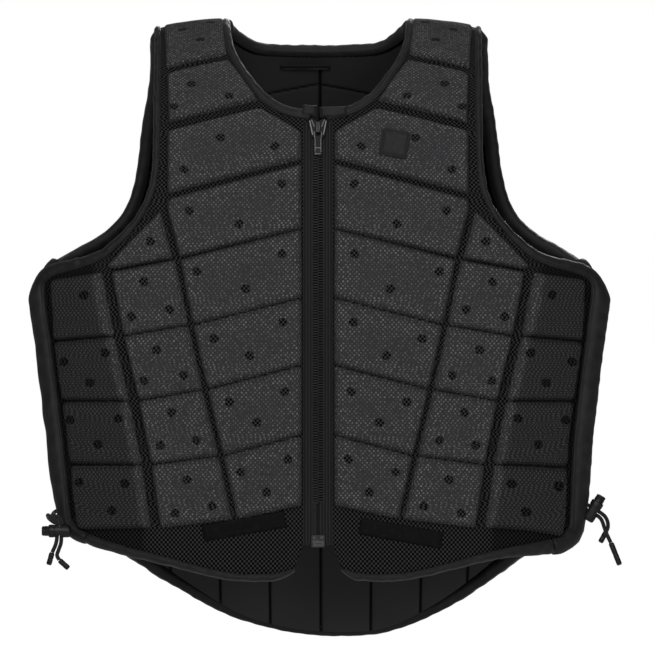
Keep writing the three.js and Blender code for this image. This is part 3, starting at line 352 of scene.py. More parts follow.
def makeMeshCloth():
    s = Shade("meshCloth", meshLook["thread"], 0.72, spec=0.06)
    u, v = s.uv()
    f = s.math("MULTIPLY", waves(s, u, meshLook["across"]), waves(s, v, meshLook["along"]))
    pad = s.step(s.share("pad"), 0.05, 0.45)
    vent = s.step(s.share("vent"), 0.3, 0.4)
    lit = s.math("MULTIPLY", pad, s.math("SUBTRACT", 1.0, vent))
    low, high = s.step(f, -0.2, 0.12), s.step(f, 0.08, 0.52)
    hole = s.math("ADD", low, s.math("MULTIPLY", lit, s.math("SUBTRACT", high, low)))
    patch = s.noise(60, 3)
    sparkle = s.noise(420, 1)
    # painted highlight: the foam on the pad bevels is paler, standing in for light caught by the bevel
    rim = s.math("SUBTRACT", 1.0, s.step(s.share("pad"), 0.945, 0.985))
    glint = s.mix(rim, meshLook["foam"], meshLook["foamBevelHighlight"])
    foam = s.mix(s.math("MULTIPLY", s.step(sparkle, 0.35, 0.7), s.spread(patch, 0.55, 1.2)),
                 meshLook["foamLow"], glint)
    # painted shade: off the pads and over the vents the holes show near-black instead of foam, and the threads are a
    # little darker off the pads
    below = s.mix(lit, meshLook["holeShade"], foam)
    thread = s.mix(pad, meshLook["threadShaded"], meshLook["thread"])
    cloth = s.mix(hole, thread, below)
    # painted shade: the side pads, which turn away from the lamps, get darker thread and foam colours
    away = s.mix(hole, meshLook["threadTurnedShade"], s.mix(lit, meshLook["holeShade"], meshLook["foamTurnedShade"]))
    s.colour(s.mix(s.share("turnedShade"), cloth, away))
    s.rough(s.spread(sparkle, 0.6, 0.85))
    weave = s.math("ADD", s.math("MULTIPLY", hole, -1.0), s.math("MULTIPLY", sparkle, 0.35))
    s.bump(weave, 0.5, 0.8)
    return s.material


def makeTapeCloth(name, colour, lift, rough=0.55, pitch=0.9):
    s = Shade(name, colour, rough, spec=0.4, sheen=0.15)
    u, v = s.uv()
    rib = s.math("MULTIPLY", waves(s, u, pitch), waves(s, v, pitch * 0.8))
    worn = s.noise(90, 3)
    s.colour(s.mix(s.step(worn, 0.35, 0.75), colour, lift))
    s.rough(s.spread(worn, rough - 0.08, rough + 0.12))
    s.bump(s.math("ADD", s.math("MULTIPLY", rib, 0.35), s.math("MULTIPLY", worn, 2.0)), 0.18, 0.7)
    return s.material


def makeLiningCloth():
    s = Shade("liningCloth", (0.02, 0.02, 0.022), 0.8, spec=0.12)
    u, v = s.uv()
    knit = s.math("MULTIPLY", waves(s, u, 1.1), waves(s, v, 1.3))
    cloud = s.noise(18, 2)
    dark = s.mix(cloud, (0.030, 0.030, 0.032), (0.042, 0.042, 0.0445))
    # painted light: the lining is made paler towards the tail, standing in for light that reaches it there
    plain = s.mix(s.share("tail"), dark, (0.070, 0.070, 0.073))
    s.colour(s.mix(s.step(s.share("seam"), 0.2, 0.9), plain, (0.0018, 0.0018, 0.002)))
    s.bump(knit, 0.08, 0.6)
    return s.material


def makeZipCloth():
    s = Shade("zipCloth", (0.018, 0.018, 0.020), 0.7, spec=0.35, sheen=0.1)
    u, v = s.uv()
    rib = waves(s, u, 3.0, 0.6)
    twill = waves(s, s.math("ADD", u, v), 1.0)
    s.colour(s.mix(s.step(rib, -0.6, 0.8), (0.006, 0.006, 0.0068), (0.030, 0.030, 0.033)))
    s.bump(s.math("ADD", rib, s.math("MULTIPLY", twill, 0.3)), 0.2, 0.7)
    return s.material


def makePlain(name, colour, lift, rough, scale, grain, spec=0.5, metal=0.0):
    s = Shade(name, colour, rough, spec=spec, metal=metal)
    fine = s.noise(scale, 3)
    s.colour(s.mix(s.step(fine, 0.4, 0.8), colour, lift))
    s.rough(s.spread(fine, max(rough - 0.08, 0.05), rough + 0.1))
    s.bump(fine, grain, 0.5)
    return s.material


def makeBraid():
    s = Shade("cordBraid", (0.015, 0.015, 0.017), 0.65, spec=0.4, sheen=0.2)
    u, v = s.uv()
    one = waves(s, s.math("ADD", u, s.math("MULTIPLY", v, 0.7)), 1.25)
    two = waves(s, s.math("SUBTRACT", u, s.math("MULTIPLY", v, 0.7)), 1.25)
    braid = s.math("MAXIMUM", one, two)
    s.colour(s.mix(s.step(braid, -0.2, 0.9), (0.006, 0.006, 0.007), (0.028, 0.028, 0.031)))
    s.bump(braid, 0.22, 0.9)
    return s.material


meshCloth = makeMeshCloth()
bindingCloth = makeTapeCloth("bindingCloth", (0.0115, 0.0115, 0.0127), (0.023, 0.023, 0.025), 0.44)
loopCloth = makeTapeCloth("loopCloth", (0.012, 0.012, 0.013), (0.02, 0.02, 0.022), 0.65, 1.2)
liningCloth = makeLiningCloth()
zipCloth = makeZipCloth()
toothPlastic = makePlain("toothPlastic", (0.024, 0.024, 0.026), (0.04, 0.04, 0.044), 0.32, 300, 0.03)
# painted highlight: pale metal for thin strips along the slider and pull edges, where light catches them
paintedEdgeHighlight = makePlain("paintedEdgeHighlight", (0.16, 0.16, 0.165), (0.26, 0.26, 0.27), 0.3, 400, 0.02, 0.6, 0.4)
boxMetal = makePlain("boxMetal", (0.035, 0.035, 0.037), (0.06, 0.06, 0.063), 0.36, 300, 0.03)
blockMetal = makePlain("blockMetal", (0.10, 0.10, 0.103), (0.15, 0.15, 0.155), 0.34, 300, 0.03)
zipMetal = makePlain("zipMetal", (0.008, 0.008, 0.009), (0.014, 0.014, 0.0158), 0.42, 200, 0.02, 0.22)
lockPlastic = makePlain("lockPlastic", (0.010, 0.010, 0.0115), (0.02, 0.02, 0.022), 0.42, 260, 0.04)
neckCloth = makePlain("neckCloth", (0.003, 0.003, 0.0034), (0.006, 0.006, 0.0068), 0.55, 300, 0.06)
labelRubber = makePlain("labelRubber", (0.006, 0.006, 0.0068), (0.012, 0.012, 0.0132), 0.55, 220, 0.05, 0.1)
badgeRubber = makePlain("badgeRubber", (0.030, 0.0305, 0.0325), (0.045, 0.046, 0.049), 0.5, 220, 0.05, 0.2)
stitchThread = makePlain("stitchThread", (0.03, 0.03, 0.033), (0.06, 0.06, 0.066), 0.6, 900, 0.05)
cordBraid = makeBraid()
print("materials made")

# the worn surface: half widths and depths at shares of the way down
body = {
    "chestHalf": 290.0, "length": 540.0, "frontDepth": 98.0, "backDepth": 92.0,
    "rollDrop": 260.0, "rise": 25.0, "slope": 9.0, "strapInner": 92.0, "strapOuter": 165.0,
    "seamTurn": 96.0, "power": 2.4, "edgeMargin": 6.0, "padRise": 10.0, "seamThickness": 8.0,
    "down": [-0.05, 0.2, 0.467, 0.565, 0.65, 0.75, 0.87, 1.0, 1.1],
    "half": [0.965, 0.985, 1.0, 0.973, 0.951, 0.931, 0.903, 0.885, 0.872],
    "front": [0.97, 1.0, 1.0, 0.965, 0.93, 0.91, 0.91, 0.93, 0.95],
    "back": [0.97, 1.0, 0.96, 0.9, 0.86, 0.85, 0.89, 0.97, 1.03],
}


def curveThrough(at, value, down):
    # cubic through the places of a table
    k = np.clip(np.searchsorted(at, down, side="right") - 1, 0, len(at) - 2)
    low, high = np.maximum(np.arange(len(at)) - 1, 0), np.minimum(np.arange(len(at)) + 1, len(at) - 1)
    slope = (value[high] - value[low]) / (at[high] - at[low])
    span = at[k + 1] - at[k]
    t = (down - at[k]) / span
    return ((2 * t**3 - 3 * t**2 + 1) * value[k] + (t**3 - 2 * t**2 + t) * span * slope[k]
            + (3 * t**2 - 2 * t**3) * value[k + 1] + (t**3 - t**2) * span * slope[k + 1])


def trace(column, down):
    at = np.array(body["down"])
    return curveThrough(at, np.array(body[column]), np.clip(down, at[0], at[-1]))


def rollRadius(x):
    t = np.clip((np.abs(x) - body["strapInner"]) / (body["strapOuter"] - body["strapInner"]), 0, 1)
    return body["rollDrop"] + body["rise"] - body["slope"] * t * t


def alongAt(x, drop):
    rise = body["rollDrop"] - np.asarray(drop, float)
    radius = rollRadius(x)
    return np.where(rise <= 0, rise, radius * np.arcsin(np.clip(rise / radius, -1, 1)))


def dropAt(x, w):
    radius = rollRadius(x)
    return body["rollDrop"] - np.where(w <= 0, w, radius * np.sin(np.clip(w / radius, 0, np.pi / 2)))


def facePoint(x, w, side):
    x, w = np.broadcast_arrays(np.asarray(x, float), np.asarray(w, float))
    radius = rollRadius(x)
    turn = np.maximum(w, 0) / radius
    z = np.where(w <= 0, w, radius * np.sin(turn)) - body["rollDrop"]
    down = -z / body["length"]
    half = trace("half", down) * body["chestHalf"] + (body["edgeMargin"] if side < 0 else 0)
    isFront = (np.cos(turn) >= 0) == (side < 0)
    depth = np.where(isFront, -trace("front", down) * body["frontDepth"], trace("back", down) * body["backDepth"])
    across = np.minimum(np.abs(x) / half, 0.999)
    full = (1 - across ** body["power"]) ** (1 / body["power"])
    return np.stack([x, depth * full * np.abs(np.cos(turn)), z], -1)


def faceFrame(x, w, side):
    right = facePoint(np.asarray(x) + 0.5, w, side) - facePoint(np.asarray(x) - 0.5, w, side)
    up = unit(facePoint(x, np.asarray(w) + 0.5, side) - facePoint(x, np.asarray(w) - 0.5, side))
    out = unit(np.cross(right, up)) * -side
    return facePoint(x, w, side), up, out


def offsetPoint(x, w, side, rise):
    point, _, out = faceFrame(x, w, side)
    return point + out * np.asarray(rise, float)[..., None]


# Outlines of the stitched edges as (drop, x), and hems as (x, drop)
edges = {
    "frontInner": [(-60, 96), (-22, 96), (0, 93.5), (20, 84), (36, 73), (52, 61), (64, 46), (70, 33), (73, 20),
                   (74.4, 9), (74.8, 5), (76, 15), (86, 15), (200, 15), (400, 15), (494, 15), (503, 16), (512, 19),
                   (521, 23), (560, 38)],
    "frontOuter": [(-60, 158.5), (108, 158.6), (140, 161.5), (158, 168), (176, 178), (191, 190), (201, 200),
                   (212.5, 212), (221.5, 232), (227, 254), (231, 267), (236, 273), (243, 274.5), (252, 274),
                   (281, 269.7), (346, 261.6), (412, 253.8), (475, 245.3), (530, 240.5)],
    "backInner": [(-60, 96), (-30, 96), (-20, 92), (-8, 78), (-1, 66), (2, 52), (3, 30), (3.4, 12), (3.5, 0),
                  (4, 0), (6, 0), (14, 0), (60, 0), (600, 0)],
    "backOuter": [(-60, 159), (11, 159.5), (35, 160), (75, 168), (130, 174), (155, 181), (172, 189), (187, 202),
                  (200, 218), (211, 240), (218, 258), (222, 267), (230, 270), (259, 271), (351, 258), (424, 251),
                  (499.5, 241), (600, 232)],
    "frontHem": [(0, 517), (15, 519), (22, 523), (34, 527.5), (50, 529.8), (85, 529.5), (120, 521.8), (155, 511.8),
                 (190, 503), (222, 493), (236, 486), (245, 476)],
    "backHemRight": [(0, 584), (28, 581.5), (59, 574), (79, 567.5), (91, 563), (105, 556), (130, 542), (155, 527.5),
                     (187, 506), (215, 491), (235, 480), (244, 470)],
    "backHemLeft": [(0, 584), (27, 585), (63, 583), (83, 577), (98, 571), (124, 559), (154, 541), (187, 517),
                    (215, 496), (235, 482), (244, 470)],
}
edgeLines = {key: roundedLine(points, 3) for key, points in edges.items()}


def edgeReach(key, drop):
    line = edgeLines[key]
    return np.interp(drop, line[:, 0], line[:, 1])


def rowHeight(x, q, hem):
    # q over 0 is a turn of the shoulder roll; under 0 it runs to -1 at the hem
    bottom = edgeReach(hem, np.abs(x)) - body["rollDrop"]
    return np.where(q >= 0, q * rollRadius(x), q * bottom)


def panelSpread(inner, outer, hem, topTurn, pitch, columns, rows=None):
    dense = np.r_[np.linspace(math.radians(topTurn), 0, 3000), np.linspace(0, -1, 2000)[1:]]

    def solve(key):
        x = np.full(len(dense), 150.0)
        for _ in range(8):
            x = edgeReach(key, dropAt(x, rowHeight(x, dense, hem)))
        return x, rowHeight(x, dense, hem)

    (xa, wa), (xb, wb) = solve(inner), solve(outer)
    gap = np.maximum(np.hypot(np.diff(xa), np.diff(wa)), np.hypot(np.diff(xb), np.diff(wb)))
    along = np.r_[0, np.cumsum(gap)]
    places = np.arange(len(dense))
    if rows is None:
        rows = np.interp(np.linspace(0, along[-1], int(along[-1] / pitch) + 1), along, places)
    q, ia, ib = (np.interp(rows, places, values) for values in (dense, xa, xb))
    share = np.linspace(0, 1, columns)
    x = ia[:, None] + (ib - ia)[:, None] * share
    return x, rowHeight(x, q[:, None], hem), rows


def insideOf(polygon, x, w, soft=1.2):
    # softened distance inside a convex outline of (x, z)
    corners = np.array([[px, float(alongAt(px, -pz))] for px, pz in polygon])
    middle = corners.mean(0)
    total = np.zeros(x.shape)
    for a, b in zip(corners, np.roll(corners, -1, 0)):
        n = np.array([b[1] - a[1], a[0] - b[0]])
        n = n / np.linalg.norm(n)
        if np.dot(n, middle - a) < 0:
            n = -n
        total += np.exp(-np.clip((x - a[0]) * n[0] + (w - a[1]) * n[1], -40, 60) / soft)
    return -soft * np.log(total)


def reliefOf(polygons, x, w, inset, bevel):
    rise = np.zeros(x.shape)
    for polygon in polygons:
        d = insideOf(polygon, x, w) - inset
        t = np.clip(d / bevel, 0, 1)
        crown = 0.06 * (1 - np.exp(-np.maximum(d - bevel, 0) / 25))
        rise = np.maximum(rise, 0.94 * np.sin(0.5 * np.pi * t) ** 0.85 + crown)
    return rise


frontPads = {
    "inset": 0.3, "bevel": 4.4, "puff": 0.45, "shoulderRise": 0.42,
    # column seams as (z, x)
    "middle": [(-152, 152), (-162, 155), (-210, 141), (-250, 133.5), (-285, 126), (-340, 114), (-379, 103.5),
               (-411, 97), (-449, 89), (-474, 83)],
    "wing": [(-219, 212), (-259, 207), (-300, 196.5), (-342, 186.5), (-395, 175.5), (-438, 168), (-482, 162)],
    "side": [(-236, 267), (-299, 263.5), (-361, 254.5), (-421, 246.5), (-485, 238)],
    # half widths of the grooves
    "middleGap": 1.9, "wingGap": 4.2, "rowGap": 0.3, "upperGap": 2.0,
    # row seams: z at the zip, the middle seam, the wing seam and the side
    "rows": [(-184, -214, -226, -234), (-253, -280, -291, -296), (-320, -344.5, -356, -356),
             (-390, -411, -420, -420), (-461, -475, -484, -486)],
}


def columnLine(table, z):
    at = np.array(sorted(table))
    return np.interp(z, at[:, 0], at[:, 1])


def columnAt(table, z):
    return float(columnLine(table, z))


def makeFrontPads():
    zipEdge = 16.0
    gap, upper = frontPads["rowGap"], frontPads["upperGap"]
    pads = [
        [(94, 70), (156, 70), (153, -26 + upper), (91, -12 + upper)],
        [(89, -13 - upper), (152, -27 - upper), (150, -82 + upper), (59, -58 + upper)],
        [(58, -61 - upper), (zipEdge, -87), (zipEdge, -117 + upper), (151, -152 + upper), (151, -84 - upper)],
        [(zipEdge, -117 - upper), (150, -152 - upper), (152, -163), (138.5, -214 + gap), (zipEdge, -184 + gap)],
        [(157, -165), (144, -214.5 + gap), (205, -226 + gap), (213, -222)],
    ]
    rows = frontPads["rows"]
    middle, wing, edge = (frontPads[key] for key in ("middle", "wing", "side"))
    m, n = frontPads["middleGap"], frontPads["wingGap"]
    for k, (top, low) in enumerate(zip(rows, rows[1:])):
        above, below = -gap, gap * (1.0 if k < 3 else 1.6)
        pads.append([(zipEdge, top[0] + above), (columnAt(middle, top[1]) - m, top[1] + above),
                     (columnAt(middle, low[1]) - m, low[1] + below), (zipEdge, low[0] + below)])
        pads.append([(columnAt(middle, top[1]) + m, top[1] + above), (columnAt(wing, top[2]) - n, top[2] + above),
                     (columnAt(wing, low[2]) - n, low[2] + below), (columnAt(middle, low[1]) + m, low[1] + below)])
        pads.append([(columnAt(wing, top[2]) + n, top[2] + above), (columnAt(edge, top[3]), top[3] + above),
                     (columnAt(edge, low[3]), low[3] + below), (columnAt(wing, low[2]) + n, low[2] + below)])
    return pads


vents = [
    (126, -42), (88.5, -53.5), (143, -64), (97, -95), (43, -103.5), (133, -126), (36, -140.5), (127.5, -167),
    (78.5, -180), (36, -209.5), (120, -227), (72, -244), (35, -276.5), (103, -293), (68, -310), (33, -346),
    (88, -356.5), (61, -377), (30, -414), (77, -427), (51, -447), (166, -197), (172.5, -237), (147, -264),
    (184.5, -271), (160, -304), (133, -329.5), (172, -335), (145, -367), (120.5, -395), (156, -400),
    (129.5, -434.5), (105, -461), (141.5, -468), (250, -316), (210, -307), (225, -337), (244, -374.5),
    (197.5, -373), (217, -399), (190.5, -438.5), (233.5, -437), (202.5, -465.5), (231, -250),
    (118, 4), (136, 14), (108, 21),
]
ventSize = {"radius": 4.7, "depth": 0.35}


def ventShare(places, x, w):
    total = np.zeros(x.shape)
    for px, pz in places:
        away = np.hypot(x - px, w - float(alongAt(px, -pz)))
        total = np.maximum(total, np.clip(1.35 - away / ventSize["radius"], 0, 1))
    return total


def shoulderLow(w, least):
    # pads are pressed thinner over the crown of the shoulder
    return 1 - (1 - least) * ease((w - 235) / 120)


def padLift(rise, loose, vent, w):
    lift = rise * body["padRise"] + loose - ventSize["depth"] * np.clip(vent * 1.6, 0, 1)
    return np.minimum(lift, body["padRise"] + 0.6) * shoulderLow(w, frontPads["shoulderRise"])


def clothUv(points, x, w, hand):
    # arc length across the row and height along the panel
    step = np.linalg.norm(np.diff(points, axis=1), axis=2)
    across = np.concatenate([np.abs(x[:, :1]), np.abs(x[:, :1]) + np.cumsum(step, 1)], 1)
    return np.stack([across * hand, w], -1)


def skirted(points, uv, shares, outs, depth):
    # adds a border that turns down towards the inner face
    def pad(a, drop=None):
        a = np.concatenate([a[:1], a, a[-1:]], 0)
        return np.concatenate([a[:, :1], a, a[:, -1:]], 1)

    grown = pad(points)
    push = np.zeros(grown.shape[:2])
    push[0], push[-1], push[:, 0], push[:, -1] = depth, depth, depth, depth
    grown = grown - pad(outs) * push[..., None]
    return grown, pad(uv), {key: pad(value) for key, value in shares.items()}


cloth = {"slack": 0.22, "skirt": 5.0}

# how far the lower corners hang out past the even outline, by hand: (out, down)
fullness = {1: (6.0, 7.0), -1: (2.0, 0.0)}


def fuller(x, w, hand):
    side = np.clip((np.abs(x) - 175) / 60, 0, 1)
    out, down = fullness[hand]
    low = ease((-w - 120) / 100)
    return x + out * side * low, w - down * side * side * low


def makeFrontPanels():
    x, w, _ = panelSpread("frontInner", "frontOuter", "frontHem", body["seamTurn"], 2.3, 112)
    pads = makeFrontPads()
    rise = reliefOf(pads, x, w, frontPads["inset"], frontPads["bevel"])
    vent = ventShare(vents, x, w)
    for hand, word in hands:
        point, _, out = faceFrame(*fuller(x, w, hand), -1)
        loose = ripple(x, w, 46, 11 + hand) * frontPads["puff"] * rise + ripple(x, w, 17, 31 + hand) * cloth["slack"]
        points = point + out * padLift(rise, loose, vent, w)[..., None]
        uv = clothUv(points, x, w, 1)
        z = -dropAt(x, w)
        # painted shade mask: how far the side pads turn away from the lamps, used to darken their colour
        past = x - columnLine(frontPads["wing"], z)
        turnedShade = np.clip((past + 2) / 5, 0, 1) * np.clip((-205 - z) / 15, 0, 1)
        turnedShade = turnedShade * (0.12 + 0.88 * np.clip((past - 10) / 5, 0, 1))
        grown, uv, shares = skirted(points, uv, {"pad": rise, "vent": vent, "turnedShade": turnedShade * 0.86}, out,
                                    cloth["skirt"])
        grown = grown * [hand, 1, 1]
        rows, columns = grown.shape[:2]
        made = newObject("frontPanel" + word.title(), grown, gridFaces(rows, columns, flip=hand < 0), uv, shares)
        dress(made, meshCloth, "front_panel_" + word)
    return x, w


frontX, frontW = makeFrontPanels()
print("front panels made")

backPads = {
    "inset": 2.2, "bevel": 5.0, "puff": 0.5,
    # drop: inner seam, middle seam, wing seam, side, all as x
    "columns": [(6.5, 66, 177, 177, 177), (138, 66, 176, 176, 176), (208, 66, 162.5, 218, 268),
                (259, 66, 159, 215, 271), (351, 65, 155, 206.5, 258), (424, 64.5, 152, 201.5, 251),
                (499.5, 64, 148.5, 194, 241), (594, 61, 143.5, 183, 232)],
    # drop of each row seam at the inner, middle and wing seams and the side
    "rows": [(6.5, 6.5, 6.5, 6.5), (73, 73, 73, 73), (138, 138, 138, 138), (210.5, 208, 200, 222),
             (281, 281, 281, 283.5), (351, 351, 351, 348), (424, 424, 421, 413), (499.5, 489, 478, 462),
             (573, 535, 506, 474)],
}


def makeBackPads():
    table = np.array(backPads["columns"], float)

    def at(column, drop):
        return float(np.interp(drop, table[:, 0], table[:, column]))

    pads = [[(88, 70), (168, 70), (168, -6.5), (72, -6.5)]]
    rows = backPads["rows"]
    for k, (top, low) in enumerate(zip(rows, rows[1:])):
        sag = 7 if k == len(rows) - 2 else 0
        pads.append([(-at(1, top[0]), -top[0]), (at(1, top[0]), -top[0]), (at(1, low[0]), -low[0]),
                     (0, -low[0] - sag), (-at(1, low[0]), -low[0])])
        pads.append([(at(1, top[0]), -top[0]), (at(2, top[1]), -top[1]),
                     (at(2, low[1]), -low[1]), (at(1, low[0]), -low[0])])
        if k == 2:
            pads.append([(174, -146), (at(2, low[1]), -low[1]), (217, -201), (196, -178)])
        if k > 2:
            pads.append([(at(2, top[1]), -top[1]), (at(3, top[2]), -top[2]),
                         (at(3, low[2]), -low[2]), (at(2, low[1]), -low[1])])
            pads.append([(at(3, top[2]), -top[2]), (at(4, top[3]), -top[3]),
                         (at(4, low[3]), -low[3]), (at(3, low[2]), -low[2])])
    return pads


def backVents():
    places = []
    rows = backPads["rows"]
    for k, (top, low) in enumerate(zip(rows, rows[1:])):
        middle = -(top[0] + low[0]) / 2
        reach = [0, 36, 92, 128] + ([184, 232] if k > 2 else [])
        for n, px in enumerate(reach):
            places.append((px, middle + (9 if n % 2 else -11)))
    return places


backTurn = 180 - body["seamTurn"] - 0.2
backHems = ((1, "backHemLeft"), (-1, "backHemRight"))


def makeBackPanel():
    halves, rows = [], None
    points, maps, shares, faces = [], [], {"pad": [], "vent": [], "turnedShade": []}, []
    for hand, hem in backHems:
        x, w, rows = panelSpread("backInner", "backOuter", hem, backTurn, 2.7, 96, rows)
        halves.append((x, w))
        rise = reliefOf(makeBackPads(), x, w, backPads["inset"], backPads["bevel"])
        vent = ventShare(backVents(), x, w)
        point, _, out = faceFrame(x, w, 1)
        xs = x * hand
        loose = ripple(xs, w, 50, 5) * backPads["puff"] * rise + ripple(xs, w, 17, 8) * cloth["slack"]
        full, uv, extra = skirted(point + out * padLift(rise, loose, vent, w)[..., None], clothUv(point, x, w, 1),
                                  {"pad": rise, "vent": vent, "turnedShade": rise * 0}, out, cloth["skirt"])
        meets = np.abs(x[:, 0]) < 0.01    # rows that meet the centre line keep no border there
        keep = np.r_[False, meets, meets[-1:]]
        full[keep, 0] = full[keep, 1]
        high, wide = full.shape[:2]
        faces += gridFaces(high, wide, flip=hand > 0, start=len(points) * high * wide)
        points.append((full * [hand, 1, 1]).reshape(-1, 3))
        maps.append(uv.reshape(-1, 2) * [hand, 1])
        for key in shares:
            shares[key].append(extra[key].ravel())
    made = newObject("backPanel", np.concatenate(points), faces, np.concatenate(maps),
                     {key: np.concatenate(value) for key, value in shares.items()})
    weld(made)
    dress(made, meshCloth, "back_panel")
    return halves


backHalves = makeBackPanel()
print("back panel made")

# folded tape along every edge
binding = {
    "top": 4.0, "bottom": 9.6, "clear": -0.5, "pucker": 0.35, "pitch": 13.0,
    "neck": 8.0, "neckAtZip": 12.0, "arm": 7.0, "armAtSide": 13.0, "side": 15.0, "hem": 11.0, "hemLess": 3.5,
    # the laced sides flare: extra width and lean, by hand
    "flare": {1: 6.5, -1: 3.5}, "lean": 26.0, "flareEnd": 530.0, "backArm": {1: 13.0, -1: 11.0},
    "corner": {1: 4.0, -1: -0.5},
}


def evenLine(places, step):
    line = np.asarray(places, float)
    along = alongLine(line)
    keep = np.r_[True, np.diff(along) > 1e-6]
    line, along = line[keep], along[keep]
    at = np.linspace(0, along[-1], max(int(along[-1] / step), 2) + 1)
    return np.stack([np.interp(at, along, line[:, k]) for k in range(line.shape[1])], -1)


def bindEdge(name, places, side, hand, widthOf, mirror, node, seed, flare=0.0, crumple=1.0):
    # places are (x, w) along a stitched edge; hand points off the panel
    line = evenLine(places, 2.0)
    point, _, out = faceFrame(line[:, 0], line[:, 1], side)
    run = unit(np.gradient(point, axis=0))
    aside = unit(np.cross(run, out)) * hand
    share = np.linspace(0, 1, len(line))
    width = widthOf(share)
    if flare:
        drops = dropAt(line[:, 0], line[:, 1])
        free = ease(np.clip((drops - 232) / 22, 0, 1) * np.clip((binding["flareEnd"] - drops) / 110, 0, 1))[:, None]
        low = np.clip((drops - 430) / 60, 0, 1)
        width = width + flare * free[:, 0] + binding["corner"][mirror] * low
        turn = np.radians(binding["lean"]) * free
        aside, out = aside * np.cos(turn) + out * np.sin(turn), out * np.cos(turn) - aside * np.sin(turn)
    along = alongLine(point)
    top, low = binding["top"], -binding["bottom"]
    shape = np.array([
        (0.0, 0.30 * top), (0.05, 0.72 * top), (0.13, 0.92 * top), (0.17, 0.74 * top), (0.22, 0.95 * top),
        (0.45, 1.0 * top), (0.68, 0.82 * top), (0.86, 0.42 * top), (0.97, -0.12 * top), (1.0, 0.16 * low),
        (0.99, 0.5 * low), (0.93, 0.85 * low), (0.8, 0.98 * low), (0.4, low), (0.0, low), (0.0, 0.30 * top),
    ])
    profile = np.repeat(shape[None], len(line), 0)
    folds = ripple(along[:, None], shape[None, :, 0] * 9, binding["pitch"], seed) * binding["pucker"] * crumple
    folds += ripple(along[:, None], shape[None, :, 0] * 5, binding["pitch"] * 3, seed + 3) * binding["pucker"] * 1.3
    free = np.sin(np.pi * np.clip(np.arange(len(shape)) / (len(shape) - 1), 0, 1))
    profile[..., 0] = binding["clear"] + profile[..., 0] * width[:, None] + folds * free * 0.5
    profile[..., 1] += folds * free
    mirror = np.array([mirror, 1, 1])
    made = sweep(name, point * mirror, aside * mirror, out * mirror, profile, closed=False)
    if mirror[0] * hand * side > 0:
        made.data.flip_normals()
    dress(made, bindingCloth, node)
    return made


def panelEdge(x, w, column, first=0, last=None):
    return np.stack([x[first:last, column], w[first:last, column]], -1)


def makeBindings():
    neck = panelEdge(frontX, frontW, 0, 0, int(np.argmin(frontX[:160, 0])))
    drops = dropAt(frontX[:, -1], frontW[:, -1])
    arm = panelEdge(frontX, frontW, -1, 0, int(np.argmax(drops > 234)) + 1)
    flank = panelEdge(frontX, frontW, -1, int(np.argmax(drops > 229)))
    low = np.stack([frontX[-1], frontW[-1]], -1)
    hemStart = int(np.argmax(low[:, 0] > 226))
    flank = np.concatenate([flank, low[:hemStart:-1]])
    hem = low[:hemStart + 1][::-1]

    def wide(value, ends=None):
        ends = value if ends is None else ends
        return lambda s: value + (ends - value) * np.clip(1 - np.minimum(s, 1 - s) * 14, 0, 1)

    def neckWide(s):
        return binding["neck"] + (binding["neckAtZip"] - binding["neck"]) * s**3

    def armWide(s):
        return binding["arm"] + (binding["armAtSide"] - binding["arm"]) * np.clip((s - 0.75) / 0.25, 0, 1)

    for mirror, word in hands:
        title = word.title()

        def hemWide(s):
            thin = binding["hemLess"] * np.clip(s / 0.5, 0, 1) + 4.5 * np.clip((s - 0.93) / 0.07, 0, 1)
            return binding["hem"] - thin + binding["corner"][mirror] * np.clip(1 - s / 0.25, 0, 1)

        def full(places):
            return np.stack(fuller(places[:, 0], places[:, 1], mirror), -1)

        bindEdge("frontNeckBinding" + title, neck, -1, 1, neckWide, mirror, "front_neck_binding_" + word, 3 + mirror)
        bindEdge("frontArmBinding" + title, arm, -1, -1, armWide, mirror,
                 "front_armhole_binding_" + word, 13 + mirror, crumple=1.5)
        bindEdge("frontSideBinding" + title, full(flank), -1, -1, wide(binding["side"], binding["hem"]), mirror,
                 "front_side_binding_" + word, 23 + mirror, binding["flare"][mirror], crumple=1.3)
        bindEdge("frontHemBinding" + title, full(hem), -1, -1, hemWide, mirror,
                 "front_hem_binding_" + word, 33 + mirror, crumple=1.8)

    backX, backW = backHalves[0]
    neckEnd = int(np.argmax(backX[:, 0] < 0.5))
    half = panelEdge(backX, backW, 0, 0, neckEnd + 1)
    whole = np.concatenate([half, half[::-1][1:] * [-1, 1]])
    bindEdge("backNeckBinding", whole, 1, -1, wide(binding["neck"]), 1, "back_neck_binding", 41)
    tail = []
    for (backX, backW), (mirror, word) in zip(backHalves, hands):
        drops = dropAt(backX[:, -1], backW[:, -1])
        corner = int(np.argmax(drops > 220))
        arm = panelEdge(backX, backW, -1, 0, corner + 1)
        low = np.stack([backX[-1], backW[-1]], -1)
        tailStart = int(np.argmax(low[:, 0] > 222))
        flank = np.concatenate([panelEdge(backX, backW, -1, corner), low[:tailStart:-1]])
        tail.append(low[:tailStart + 1])
        title = word.title()
        bindEdge("backArmBinding" + title, arm, 1, 1, wide(binding["backArm"][mirror], binding["arm"]), mirror,
                 "back_armhole_binding_" + word, 53 + mirror)
        bindEdge("backSideBinding" + title, flank, 1, 1, wide(binding["side"], binding["hem"]), mirror,
                 "back_side_binding_" + word, 63 + mirror)
    tail = np.concatenate([tail[0][::-1], tail[1][1:] * [-1, 1]])
    bindEdge("tailBinding", tail, 1, 1, wide(binding["hem"]), 1, "tail_binding", 71, crumple=3.2)


makeBindings()
print("bindings made")

lining = {
    "gap": 2.6, "thick": 1.2, "inset": 3.0, "tailLap": 8.5, "seamDepth": 2.2, "seamWidth": 1.9,
    # seams of the back as lines of (x, z)
    "seams": [
        [(2, -15), (3, -600)], [(-170, -60), (-70, -46), (0, -32), (70, -46), (170, -60)], [(-49, -250), (-49, -600)],
        [(54, -250), (54, -600)], [(-100, -200), (-100, -600)], [(105, -200), (105, -600)],
        [(-160, -180), (-150, -600)], [(160, -180), (152, -600)], [(-262, -170), (0, -140), (262, -170)],
        [(-268, -254), (0, -246), (268, -254)], [(-262, -360), (262, -360)],
    ],
}


